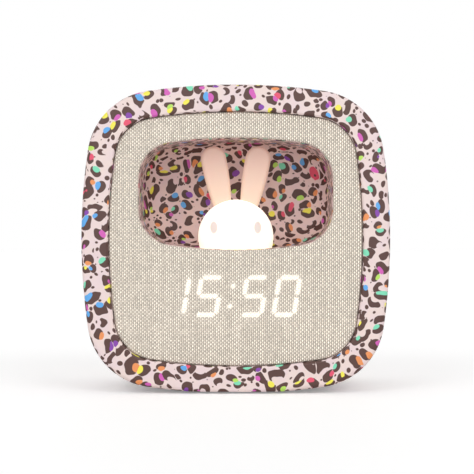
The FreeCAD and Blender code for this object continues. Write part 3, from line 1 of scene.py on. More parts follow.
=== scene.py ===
"""Looks of a kids' alarm clock with a night light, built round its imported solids.

The case and the hollow in its front carry a many-coloured leopard print. Woven cloth is
stretched over the front, four digits shine through it, and a rabbit's head glows in the
hollow. Metres, X to the right seen from the front, Y to the back, Z up.
"""

import json
import logging
import math
from dataclasses import dataclass, field
from enum import Enum
from functools import partial, reduce
from typing import Iterable

import bmesh
import bpy
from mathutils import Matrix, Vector


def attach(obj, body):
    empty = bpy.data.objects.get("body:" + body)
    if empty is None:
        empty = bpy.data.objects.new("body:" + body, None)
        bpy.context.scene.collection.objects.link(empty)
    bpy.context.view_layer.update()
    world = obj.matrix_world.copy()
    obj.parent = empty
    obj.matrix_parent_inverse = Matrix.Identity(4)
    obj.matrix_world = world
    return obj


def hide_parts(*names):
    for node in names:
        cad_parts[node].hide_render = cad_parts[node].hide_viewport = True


log = logging.getLogger("night_light_clock")
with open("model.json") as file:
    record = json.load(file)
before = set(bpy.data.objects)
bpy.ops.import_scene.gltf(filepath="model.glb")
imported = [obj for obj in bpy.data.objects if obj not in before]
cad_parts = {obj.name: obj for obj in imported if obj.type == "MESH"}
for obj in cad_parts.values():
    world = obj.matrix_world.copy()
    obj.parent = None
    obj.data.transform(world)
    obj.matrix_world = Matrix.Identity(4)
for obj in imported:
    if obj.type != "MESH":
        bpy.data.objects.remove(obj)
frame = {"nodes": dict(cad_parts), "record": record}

Node = bpy.types.Node
Socket = bpy.types.NodeSocket
Tree = bpy.types.NodeTree
Row = list[tuple[Vector, Vector]]
Colour = tuple[float, float, float]
Pair = tuple[float, float]
MM = 0.001
HALF = (0.5, 0.5, 0.5)


def shade(red: int, green: int, blue: int) -> Colour:
    """Turn an 8-bit screen colour into the linear colour that a shader uses.

    Args:
        red: Screen red, 0 to 255.
        green: Screen green.
        blue: Screen blue.

    Returns:
        The linear colour.
    """
    def linear(value: int) -> float:
        """Undo the screen's tone curve for one channel."""
        part = value / 255
        return part / 12.92 if part <= 0.04045 else ((part + 0.055) / 1.055) ** 2.4

    return linear(red), linear(green), linear(blue)


class Segment(Enum):
    """The seven bars of a digit, as their two ends in bar lengths about the middle."""

    TOP = ((-1, 2), (1, 2))
    UPPER_RIGHT = ((1, 2), (1, 0))
    LOWER_RIGHT = ((1, 0), (1, -2))
    BOTTOM = ((-1, -2), (1, -2))
    LOWER_LEFT = ((-1, 0), (-1, -2))
    UPPER_LEFT = ((-1, 2), (-1, 0))
    MIDDLE = ((-1, 0), (1, 0))


class Digit(Enum):
    """The digits of the time that is shown, as the bars that are lit."""

    ONE = (Segment.UPPER_RIGHT, Segment.LOWER_RIGHT)
    FIVE = (Segment.TOP, Segment.UPPER_LEFT, Segment.MIDDLE, Segment.LOWER_RIGHT, Segment.BOTTOM)
    ZERO = (
        Segment.TOP, Segment.UPPER_RIGHT, Segment.LOWER_RIGHT,
        Segment.BOTTOM, Segment.LOWER_LEFT, Segment.UPPER_LEFT,
    )


def path(*points: Pair) -> tuple[tuple[Pair, Pair], ...]:
    """Return the strokes that join points in turn."""
    return tuple(zip(points, points[1:]))


class Icon(Enum):
    """Plain marks of the controls, as strokes in millimetres about the control's middle."""

    MINUS = path((-1.7, 0), (1.7, 0))
    PLUS = path((-1.7, 0), (1.7, 0)) + path((0, -1.7), (0, 1.7))
    LAMP = (
        path((-1.1, -0.9), (-1.5, 0.6), (-0.7, 1.8), (0.7, 1.8), (1.5, 0.6), (1.1, -0.9))
        + path((-0.9, -1.6), (0.9, -1.6)) + path((-0.5, -2.4), (0.5, -2.4))
    )
    CLOCK = path(
        (-1.7, 0.7), (-1.7, -0.7), (-0.7, -1.7), (0.7, -1.7), (1.7, -0.7),
        (1.7, 0.7), (0.7, 1.7), (-0.7, 1.7), (-1.7, 0.7),
    ) + path((0.7, 0), (0, 0), (0, 1.0))
    BELL = path(
        (-1.7, -1.1), (1.7, -1.1), (1.1, 0.2), (0.9, 1.2), (-0.9, 1.2), (-1.1, 0.2), (-1.7, -1.1)
    ) + path((0, 1.2), (0, 1.8)) + path((-0.3, -1.9), (0.3, -1.9))


class Graph:
    """A node tree under construction, with one short method for each common step."""

    def __init__(self, tree: Tree) -> None:
        """Keep the tree that the methods add to."""
        self.tree = tree

    def node(self, kind: str, **settings: object) -> Node:
        """Add a node.

        Args:
            kind: The node's type, without the leading "ShaderNode".
            settings: Properties to set on it.

        Returns:
            The new node.
        """
        made = self.tree.nodes.new(kind if kind.startswith("Node") else f"ShaderNode{kind}")
        for name, value in settings.items():
            setattr(made, name, value)
        return made

    def feed(self, socket: Socket, value: object) -> None:
        """Link a socket to another one, or set its constant."""
        if isinstance(value, Socket):
            self.tree.links.new(value, socket)
        elif isinstance(value, tuple) and socket.type == "RGBA":
            socket.default_value = (*value[:3], 1.0)
        else:
            socket.default_value = value

    def fill(self, node: Node, **values: object) -> None:
        """Feed a node's inputs; an underscore in a name stands for a space."""
        for name, value in values.items():
            self.feed(node.inputs[name.replace("_", " ")], value)

    def in_turn(self, node: Node, *values: object) -> bpy.types.NodeOutputs:
        """Feed a node's first inputs in turn and return its outputs."""
        for socket, value in zip(node.inputs, values):
            self.feed(socket, value)
        return node.outputs

    def math(self, operation: str, *values: object, clamp: bool = False) -> Socket:
        """Add a Math node and return its result."""
        return self.in_turn(self.node("Math", operation=operation, use_clamp=clamp), *values)[0]

    def add(self, first: object, second: object) -> Socket:
        """Return the sum of two numbers."""
        return self.math("ADD", first, second)

    def sub(self, first: object, second: object) -> Socket:
        """Return the first number less the second."""
        return self.math("SUBTRACT", first, second)

    def mul(self, first: object, second: object) -> Socket:
        """Return the product of two numbers."""
        return self.math("MULTIPLY", first, second)

    def vector(self, operation: str, *values: object) -> Socket:
        """Add a Vector Math node.

        Args:
            operation: What it does.
            values: Its vectors.

        Returns:
            Its number for DOT_PRODUCT, LENGTH and DISTANCE, else its vector.
        """
        numeric = operation in ("DOT_PRODUCT", "LENGTH", "DISTANCE")
        outputs = self.in_turn(self.node("VectorMath", operation=operation), *values)
        return outputs["Value" if numeric else "Vector"]

    def away(self, first: object, second: object) -> Socket:
        """Return the first vector less the second."""
        return self.vector("SUBTRACT", first, second)

    def scaled(self, value: object, factor: object) -> Socket:
        """Return a vector times a number."""
        made = self.node("VectorMath", operation="SCALE")
        self.fill(made, Vector=value, Scale=factor)
        return made.outputs["Vector"]

    def split(self, value: Socket) -> tuple[Socket, Socket, Socket]:
        """Return the three parts of a vector."""
        return tuple(self.in_turn(self.node("SeparateXYZ"), value))

    def vec(self, x: object, y: object, z: object) -> Socket:
        """Return a vector of three numbers or sockets."""
        return self.in_turn(self.node("CombineXYZ"), x, y, z)[0]

    def mix(self, factor: object, first: object, second: object) -> Socket:
        """Return two colours mixed by a factor."""
        made = self.node("Mix", data_type="RGBA")
        for index, value in ((0, factor), (6, first), (7, second)):
            self.feed(made.inputs[index], value)
        return made.outputs[2]

    def fade(
        self, value: object, low: object, high: object, to_low: object = 0.0, to_high: object = 1.0
    ) -> Socket:
        """Return a smooth step of a value from one level to another.

        Args:
            value: The number that drives the step.
            low: Where the step starts.
            high: Where it ends.
            to_low: The result at its start.
            to_high: The result at its end.

        Returns:
            The stepped number.
        """
        made = self.node("MapRange", interpolation_type="SMOOTHSTEP")
        return self.in_turn(made, value, low, high, to_low, to_high)[0]

    def steps(self, value: Socket, colours: tuple[Colour, ...]) -> Socket:
        """Return one of several colours, each for an equal share of 0 to 1."""
        made = self.node("ValToRGB")
        ramp = made.color_ramp
        ramp.interpolation = "CONSTANT"
        while len(ramp.elements) < len(colours):
            ramp.elements.new(0.5)
        for index, colour in enumerate(colours):
            ramp.elements[index].position = index / len(colours)
            ramp.elements[index].color = (*colour, 1.0)
        return self.in_turn(made, value)[0]

    def noise(self, point: Socket, scale: float, detail: float = 2.0) -> Socket:
        """Return the Color output of a noise texture, which serves as three random numbers."""
        made = self.node("TexNoise")
        self.fill(made, Vector=point, Scale=scale, Detail=detail)
        return made.outputs["Color"]

    def chance(self, point: Socket, scale: float, detail: float = 2.0) -> Socket:
        """Return the first random number of a noise texture."""
        return self.split(self.noise(point, scale, detail))[0]

    def cells(self, point: Socket, randomness: float, feature: str = "F1") -> Node:
        """Add a Voronoi texture in space at scale 1 and return its node."""
        made = self.node("TexVoronoi", voronoi_dimensions="3D", feature=feature)
        self.fill(made, Vector=point, Scale=1.0, Randomness=randomness)
        return made

    def use(self, group: Tree, **values: object) -> Node:
        """Place a node group and feed its inputs."""
        made = self.node("Group", node_tree=group)
        self.fill(made, **values)
        return made


def new_group(
    name: str, inputs: dict[str, str], outputs: dict[str, str]
) -> tuple[Graph, dict[str, Socket], Node]:
    """Start a shader node group.

    Args:
        name: The group's name.
        inputs: Its inputs, each name with Float, Vector or Color.
        outputs: Its outputs, in the same way.

    Returns:
        The graph inside, its input sockets by name, and the node that takes its outputs.
    """
    tree = bpy.data.node_groups.new(name, "ShaderNodeTree")
    for side, sockets in (("INPUT", inputs), ("OUTPUT", outputs)):
        for label, kind in sockets.items():
            tree.interface.new_socket(label, in_out=side, socket_type=f"NodeSocket{kind}")
    graph = Graph(tree)
    source, sink = graph.node("NodeGroupInput"), graph.node("NodeGroupOutput")
    return graph, {label: source.outputs[label] for label in inputs}, sink


def new_material(name: str) -> tuple[Graph, Node, bpy.types.Material]:
    """Start a material and return its graph, its shader and itself."""
    material = bpy.data.materials.new(name)
    material.use_nodes = True
    return Graph(material.node_tree), material.node_tree.nodes["Principled BSDF"], material


class Effects:
    """The shader node groups that the finishes share, each built once."""

    def __init__(self) -> None:
        """Build every group."""
        self.stroke = self._stroke()
        self.grain = self._grain()
        self.weave = self._weave()
        self.rosettes = self._rosettes()
        self.dust = self._dust()

    def _stroke(self) -> Tree:
        """Build the distance from a flat point to the line between two ends."""
        graph, take, give = new_group(
            "stroke", {"Point": "Vector", "Start": "Vector", "End": "Vector"}, {"Distance": "Float"}
        )
        along = graph.away(take["End"], take["Start"])
        reach = graph.away(take["Point"], take["Start"])
        forward = graph.vector("DOT_PRODUCT", reach, along)
        length_squared = graph.vector("DOT_PRODUCT", along, along)
        share = graph.math("DIVIDE", forward, length_squared, clamp=True)
        graph.fill(give, Distance=graph.vector("DISTANCE", reach, graph.scaled(along, share)))
        return graph.tree

    def _grain(self) -> Tree:
        """Build the fine spark-eroded grain and slight tone of moulded plastic."""
        tone_depth, roughness_depth = 0.04, 0.12
        graph, take, give = new_group(
            "moulded_grain",
            {"Point": "Vector", "Color": "Color", "Roughness": "Float", "Tone": "Float"},
            {"Color": "Color", "Roughness": "Float", "Height": "Float"},
        )
        fine = graph.chance(take["Point"], 3.2, 3.0)
        broad = graph.chance(take["Point"], 0.06, 2.0)
        speckle = graph.sub(fine, 0.5)
        cloud = graph.mul(graph.sub(broad, 0.5), take["Tone"])
        factor = graph.add(1.0, graph.add(graph.mul(speckle, tone_depth), cloud))
        colour = graph.scaled(take["Color"], factor)
        rough = graph.add(take["Roughness"], graph.mul(speckle, roughness_depth))
        graph.fill(give, Color=colour, Roughness=rough, Height=fine)
        return graph.tree

    def _dust(self) -> Tree:
        """Build faint dust that lies on what faces up."""
        graph, take, give = new_group(
            "settled_dust",
            {"Point": "Vector", "Facing": "Vector", "Color": "Color"},
            {"Color": "Color"},
        )
        up = graph.fade(graph.split(take["Facing"])[2], 0.55, 1.0)
        patch = graph.fade(graph.chance(take["Point"], 0.11, 4.0), 0.42, 0.75)
        amount = graph.mul(graph.mul(up, patch), 0.1)
        graph.fill(give, Color=graph.mix(amount, take["Color"], shade(214, 208, 202)))
        return graph.tree

    def _weave(self) -> Tree:
        """Build a plain weave of uneven linen threads, with painted shade in the gaps between them,
        from a flat place in millimetres.
        """
        graph, take, give = new_group(
            "plain_weave",
            {"Place": "Vector", "Warp": "Color", "Weft": "Color", "Hole": "Color"},
            {"Color": "Color", "Height": "Float", "Open": "Float"},
        )
        warp_pitch, weft_pitch = 0.97, 0.87
        roundness, wave_height = 4.4, 0.36
        own_tone, slub_tone, base_tone = 0.26, 0.46, 0.8
        slub_length, slub_rows = 0.35, 3.7
        dimmest, brightest = 0.84, 1.12
        open_below, closed_above = 0.12, 0.8
        sway = graph.away(graph.noise(take["Place"], 0.22, 2.0), HALF)
        place = graph.vector("ADD", take["Place"], graph.scaled(sway, 0.5))
        x, _, z = graph.split(place)
        u, v = graph.math("DIVIDE", x, warp_pitch), graph.math("DIVIDE", z, weft_pitch)
        directions = (("Warp", u, v, 40.5, 0.67), ("Weft", v, u, 900.5, 0.55))
        heights, threads = [], []
        for name, own, other, seed, base in directions:
            row = graph.math("FLOOR", own)
            inside = graph.sub(graph.math("FRACT", own), 0.5)
            lift = graph.sub(1.0, graph.mul(graph.math("POWER", inside, 2.0), roundness))
            turn = graph.add(row, graph.sub(other, 0.5))
            if name == "Weft":
                turn = graph.add(turn, 1.0)
            wave = graph.math("COSINE", graph.mul(turn, math.pi))
            heights.append(graph.mul(lift, graph.add(base, graph.mul(wave, wave_height))))
            pick = graph.node("TexWhiteNoise", noise_dimensions="1D")
            graph.fill(pick, W=graph.add(row, seed))
            stretched = graph.vec(graph.mul(other, slub_length), graph.mul(row, slub_rows), 0.0)
            slub = graph.chance(stretched, 1.0, 2.0)
            tone = graph.add(graph.mul(pick.outputs["Value"], own_tone), graph.mul(slub, slub_tone))
            threads.append(graph.scaled(take[name], graph.add(base_tone, tone)))
        crossing = graph.node("TexWhiteNoise", noise_dimensions="2D")
        corner = graph.vec(graph.math("FLOOR", u), graph.math("FLOOR", v), 0.0)
        graph.fill(crossing, Vector=corner)
        uneven = graph.fade(crossing.outputs["Value"], 0.0, 1.0, dimmest, brightest)
        top = graph.math("MAXIMUM", *heights)
        warp_on_top = graph.math("GREATER_THAN", *heights)
        thread = graph.scaled(graph.mix(warp_on_top, threads[1], threads[0]), uneven)
        # Where the threads dip low, the colour fades to the painted shade of the gaps between them.
        cover = graph.fade(top, open_below, closed_above)
        colour = graph.mix(cover, take["Hole"], thread)
        graph.fill(give, Color=colour, Height=top, Open=graph.sub(1.0, cover))
        return graph.tree

    def _rosettes(self) -> Tree:
        """Build a leopard print: dark open rings, each with a coloured spot, and small dark dots.

        The cells lie in space, and each ring is laid flat on the surface that it meets, so
        the print runs over every edge of a piece without a join.
        """
        graph, take, give = new_group(
            "leopard_print",
            {
                "Point": "Vector", "Facing": "Vector",
                "Ground": "Color", "Spot": "Color", "Pitch": "Float",
            },
            {"Color": "Color", "Dark": "Float"},
        )
        turn_angle = math.radians(27)
        raggedness, flattening = 0.28, 0.22
        ring_randomness, fullness, largest = 0.5, 1.12, 0.47
        notch_size, notch_along, notch_blend = 0.55, 0.82, 0.06
        spot_size, spot_along, spot_depth, spotted = 0.56, 0.68, 0.4, 0.8
        dot_randomness, dot_scale, dot_shift = 0.7, 2.1, (3.3, 7.1, 5.7)
        dot_least, dot_spread, dot_clearance = 0.24, 0.3, 0.03
        edge, dot_edge = (-0.012, 0.022), (-0.02, 0.05)
        turned = []
        for socket in (take["Point"], take["Facing"]):
            turn = graph.node("VectorRotate", rotation_type="Y_AXIS")
            graph.fill(turn, Vector=socket, Angle=turn_angle)
            turned.append(turn.outputs[0])
        facing = turned[1]
        in_cells = graph.scaled(turned[0], graph.math("DIVIDE", 1.0, take["Pitch"]))
        in_cells = graph.vector("ADD", in_cells, (0.0, 0.25, 0.0))
        sway = graph.away(graph.noise(in_cells, 0.55, 0.0), HALF)
        point = graph.vector("ADD", in_cells, graph.vector("MULTIPLY", sway, (1.0, 0.05, 1.0)))
        ragged = graph.split(graph.noise(in_cells, 2.3, 0.0))
        wobble, spot_wobble = (graph.mul(graph.sub(part, 0.5), raggedness) for part in ragged[:2])

        def laid(offset: Socket, deep: float) -> Socket:
            """Lay an offset nearly flat on the surface, with a share of its depth left."""
            depth = graph.vector("DOT_PRODUCT", offset, facing)
            return graph.away(offset, graph.scaled(facing, graph.mul(depth, 1.0 - deep)))

        def nearest(place: Socket) -> tuple[Node, Socket]:
            """Return the nearest cell and its ring's radius, which keeps clear of the others."""
            room = graph.cells(place, ring_randomness, "N_SPHERE_RADIUS").outputs["Radius"]
            radius = graph.math("MINIMUM", graph.mul(room, fullness), largest)
            return graph.cells(place, ring_randomness), radius

        cell, radius = nearest(point)
        chance = graph.split(cell.outputs["Color"])
        straight = graph.away(point, cell.outputs["Position"])
        offset = laid(straight, 0.35)
        depth = graph.math("ABSOLUTE", graph.vector("DOT_PRODUCT", straight, facing))
        way = graph.vector("NORMALIZE", laid(graph.away(cell.outputs["Color"], HALF), 0.0))
        aim = graph.scaled(way, radius)
        along_way = graph.mul(graph.vector("DOT_PRODUCT", offset, way), flattening)
        squeezed = graph.vector("ADD", offset, graph.scaled(way, along_way))

        def within(share: float, along: float, ragged_by: Socket) -> Socket:
            """Return how far the point lies inside a ragged disc, set by the ring's radius."""
            from_middle = graph.away(squeezed, graph.scaled(aim, along))
            inside = graph.sub(graph.mul(radius, share), graph.vector("LENGTH", from_middle))
            return graph.add(inside, ragged_by)

        notch = graph.mul(within(notch_size, notch_along, spot_wobble), -1.0)
        ring = graph.math("SMOOTH_MIN", within(1.0, 0.0, wobble), notch, notch_blend)
        spot = within(spot_size, spot_along, spot_wobble)
        near_surface = graph.math("LESS_THAN", depth, spot_depth)
        has_spot = graph.mul(graph.math("LESS_THAN", chance[1], spotted), near_surface)
        spot_mask = graph.mul(graph.fade(spot, *edge), has_spot)

        small = graph.scaled(graph.vector("ADD", point, dot_shift), dot_scale)
        dot = graph.cells(small, dot_randomness)
        dot_at = graph.away(graph.scaled(dot.outputs["Position"], 1 / dot_scale), dot_shift)
        near, near_radius = nearest(dot_at)
        beside = laid(graph.away(dot_at, near.outputs["Position"]), 0.5)
        room = graph.sub(graph.sub(graph.vector("LENGTH", beside), near_radius), dot_clearance)
        size = graph.add(dot_least, graph.mul(graph.split(dot.outputs["Color"])[0], dot_spread))
        size = graph.math("MINIMUM", size, graph.mul(room, dot_scale))
        dot_offset = laid(graph.away(small, dot.outputs["Position"]), 0.6)
        dot_in = graph.add(graph.sub(size, graph.vector("LENGTH", dot_offset)), wobble)
        dark = graph.math("MAXIMUM", graph.fade(ring, *edge), graph.fade(dot_in, *dot_edge))

        accents = (
            shade(186, 228, 96), shade(238, 150, 90), shade(134, 66, 172), shade(214, 96, 186),
            shade(232, 82, 112), shade(96, 172, 236), shade(128, 224, 186), shade(246, 236, 84),
        )
        accent = graph.steps(chance[2], accents)
        cloud = graph.fade(graph.split(graph.noise(in_cells, 0.7, 2.0))[1], 0.35, 0.7)
        ground = graph.mix(graph.mul(cloud, 0.35), take["Ground"], shade(226, 204, 222))
        colour = graph.mix(dark, ground, take["Spot"])
        colour = graph.mix(spot_mask, colour, accent)
        graph.fill(give, Color=colour, Dark=graph.math("MAXIMUM", dark, spot_mask))
        return graph.tree


EFFECTS = Effects()


def nearest_stroke(graph: Graph, flat: Socket, strokes: Iterable[tuple[Pair, Pair]]) -> Socket:
    """Return the distance from a flat point to the nearest of some strokes, in millimetres.

    Args:
        graph: The material's graph.
        flat: The point, with 0 in its middle part.
        strokes: The two ends of each stroke.

    Returns:
        The distance.
    """
    distances = [
        graph.use(EFFECTS.stroke, Point=flat, Start=(x0, 0.0, z0), End=(x1, 0.0, z1)).outputs[0]
        for (x0, z0), (x1, z1) in strokes
    ]
    return reduce(partial(graph.math, "MINIMUM"), distances)


@dataclass(frozen=True)
class Finish:
    """A plain moulded, metal or rubber surface with its own grain."""

    name: str
    colour: Colour
    roughness: float = 0.5
    metallic: float = 0.0
    grain: float = 0.02
    tone: float = 0.06
    coat: float = 0.0
    dusty: bool = True

    def start(self) -> tuple[Graph, Node, bpy.types.Material]:
        """Start the material and return its graph, its shader and itself."""
        graph, shader, material = new_material(self.name)
        graph.fill(shader, Metallic=self.metallic, Coat_Weight=self.coat)
        return graph, shader, material

    def point(self, graph: Graph) -> Socket:
        """Return the place on the object in millimetres."""
        return graph.scaled(graph.node("TexCoord").outputs["Object"], 1 / MM)

    def emboss(self, graph: Graph, shader: Node, height: Socket, strength: float) -> None:
        """Tilt the shader's normal by a height in millimetres."""
        bump = graph.node("Bump")
        graph.fill(bump, Distance=MM, Strength=strength, Height=height)
        graph.fill(shader, Normal=bump.outputs[0])

    def colouring(self, graph: Graph, point: Socket) -> Colour | Socket:
        """Return the colour before grain and dust."""
        return self.colour

    def relief(self, graph: Graph, point: Socket) -> Socket | None:
        """Return a height in millimetres to add to the grain, or None."""
        return None

    def light(self, graph: Graph, shader: Node, point: Socket) -> None:
        """Give the surface its own light, if it has any."""

    def build(self) -> bpy.types.Material:
        """Build the material.

        Returns:
            The material.
        """
        graph, shader, material = self.start()
        point = self.point(graph)
        colour = self.colouring(graph, point)
        grain = graph.use(
            EFFECTS.grain, Point=point, Color=colour, Roughness=self.roughness, Tone=self.tone
        )
        colour = grain.outputs["Color"]
        if self.dusty:
            facing = graph.node("NewGeometry").outputs["Normal"]
            dust = graph.use(EFFECTS.dust, Point=point, Facing=facing, Color=colour)
            colour = dust.outputs["Color"]
        graph.fill(shader, Base_Color=colour, Roughness=grain.outputs["Roughness"])
        height = graph.mul(grain.outputs["Height"], self.grain)
        extra = self.relief(graph, point)
        if extra is not None:
            height = graph.add(height, extra)
        self.emboss(graph, shader, height, 1.0)
        self.light(graph, shader, point)
        return material


@dataclass(frozen=True)
class Printed(Finish):
    """Plastic under a leopard print, whose cells are centred on one depth of the case."""

    spot: Colour = shade(84, 54, 48)
    pitch: float = 6.9
    level: float = -36.0
    film: float = 0.012

    def pattern(self, graph: Graph, point: Socket) -> Node:
        """Place the print and return its node."""
        facing = graph.node("NewGeometry").outputs["Normal"]
        place = graph.away(point, (0.0, self.level, 0.0))
        return graph.use(
            EFFECTS.rosettes, Point=place, Facing=facing,
            Ground=self.colour, Spot=self.spot, Pitch=self.pitch,
        )

    def colouring(self, graph: Graph, point: Socket) -> Socket:
        """Return the print's colours."""
        return self.pattern(graph, point).outputs["Color"]

    def relief(self, graph: Graph, point: Socket) -> Socket:
        """Return the thickness of the dark ink."""
        return graph.mul(self.pattern(graph, point).outputs["Dark"], self.film)


@dataclass(frozen=True)
class Marked(Finish):
    """Plastic with a plain mark sunk into its rear face."""

    icon: Icon = Icon.PLUS
    middle: Pair = (0.0, 0.0)
    ink: Colour = shade(120, 92, 88)
    width: float = 0.24
    edge: float = 0.06
    depth: float = 0.12
    rear_face: float = 34.5

    def mask(self, graph: Graph, point: Socket) -> Socket:
        """Return 1 on the mark's strokes and 0 beside them."""
        x, y, z = graph.split(point)
        flat = graph.vec(graph.sub(self.middle[0], x), 0.0, graph.sub(z, self.middle[1]))
        away = nearest_stroke(graph, flat, self.icon.value)
        stroke = graph.fade(away, self.width - self.edge, self.width + self.edge, 1.0, 0.0)
        return graph.mul(stroke, graph.math("GREATER_THAN", y, self.rear_face))

    def colouring(self, graph: Graph, point: Socket) -> Socket:
        """Return the plastic's colour with the mark's ink on it."""
        return graph.mix(self.mask(graph, point), self.colour, self.ink)

    def relief(self, graph: Graph, point: Socket) -> Socket:
        """Return the mark's depth."""
        return graph.mul(self.mask(graph, point), -self.depth)


@dataclass(frozen=True)
class Turned(Finish):
    """Metal with fine turning or drawing marks."""

    across: float = 4.0
    upward: float = 22.0
    line_height: float = 0.02

    def relief(self, graph: Graph, point: Socket) -> Socket:
        """Return fine lines along the height."""
        x, y, z = graph.split(point)
        place = graph.vec(graph.mul(x, self.across), y, graph.mul(z, self.upward))
        return graph.mul(graph.chance(place, 1.0), self.line_height)


@dataclass(frozen=True)
class Circuit(Finish):
    """Green board with copper tracks under its lacquer."""

    track: Colour = shade(58, 132, 84)

    def colouring(self, graph: Graph, point: Socket) -> Socket:
        """Return green lacquer with paler tracks."""
        x, y, z = graph.split(point)
        cell = graph.node("TexVoronoi", feature="DISTANCE_TO_EDGE", voronoi_dimensions="2D")
        place = graph.vec(x, graph.add(y, z), 0.0)
        graph.fill(cell, Vector=place, Scale=0.22, Randomness=0.35)
        near = graph.fade(cell.outputs["Distance"], 0.03, 0.06, 1.0, 0.0)
        return graph.mix(near, self.colour, self.track)


@dataclass(frozen=True)
class Glowing(Finish):
    """Small lamps and lit diffusers, and what else shines."""

    strength: float = 1.0
    scatter: float = 0.0
    scatter_depth: float = 1.0

    def tint(self, graph: Graph, point: Socket) -> Socket:
        """Return the colour of its light, which is a little uneven."""
        cloud = graph.chance(point, 0.8)
        return graph.mix(cloud, self.colour, shade(255, 246, 214))

    def light(self, graph: Graph, shader: Node, point: Socket) -> None:
        """Let the piece shine, and spread light inside it."""
        graph.fill(
            shader, Emission_Color=self.tint(graph, point), Emission_Strength=self.strength,
            Subsurface_Weight=self.scatter, Subsurface_Scale=self.scatter_depth * MM,
        )


@dataclass(frozen=True)
class Milk(Glowing):
    """Milk-white plastic of the rabbit's head, lit from inside, with two faint oval eyes."""

    strength: float = 0.75
    scatter: float = 0.3
    scatter_depth: float = 4.0
    eye_x: float = 10.8
    eye_height: float = 80.7
    eye_half_width: float = 2.0
    eye_half_height: float = 3.3
    front_of: float = -15.0

    def eyes(self, graph: Graph, point: Socket) -> Socket:
        """Return 1 on the front of the eyes."""
        x, y, z = graph.split(point)
        beside = graph.sub(graph.math("ABSOLUTE", x), self.eye_x)
        across = graph.math("DIVIDE", beside, self.eye_half_width)
        upward = graph.math("DIVIDE", graph.sub(z, self.eye_height), self.eye_half_height)
        oval = graph.vector("LENGTH", graph.vec(across, upward, 0.0))
        front = graph.math("LESS_THAN", y, self.front_of)
        return graph.mul(graph.fade(oval, 0.72, 1.22, 1.0, 0.0), front)

    def colouring(self, graph: Graph, point: Socket) -> Socket:
        """Return milk white with darker eyes."""
        return graph.mix(self.eyes(graph, point), self.colour, shade(198, 188, 180))

    def tint(self, graph: Graph, point: Socket) -> Socket:
        """Return an even light, a little warmer low down, and much less in the eyes."""
        high = graph.fade(graph.split(point)[2], 68.0, 92.0)
        warm = graph.mix(high, shade(255, 236, 205), shade(255, 252, 240))
        return graph.mix(self.eyes(graph, point), warm, shade(172, 172, 165))


@dataclass(frozen=True)
class Ear(Glowing):
    """Peach plastic of the ears, lit from below by the head."""

    strength: float = 0.27
    scatter: float = 0.2
    scatter_depth: float = 2.0
    root: float = 90.0

    def colouring(self, graph: Graph, point: Socket) -> Socket:
        """Return peach, pinker towards the tips."""
        tip = graph.fade(graph.split(point)[2], self.root, 119.0)
        return graph.mix(tip, shade(226, 196, 176), shade(220, 186, 172))

    def tint(self, graph: Graph, point: Socket) -> Socket:
        """Return the head's light, which fades along the ear."""
        tip = graph.fade(graph.split(point)[2], self.root, 121.0)
        return graph.mix(tip, shade(250, 216, 184), shade(214, 172, 158))


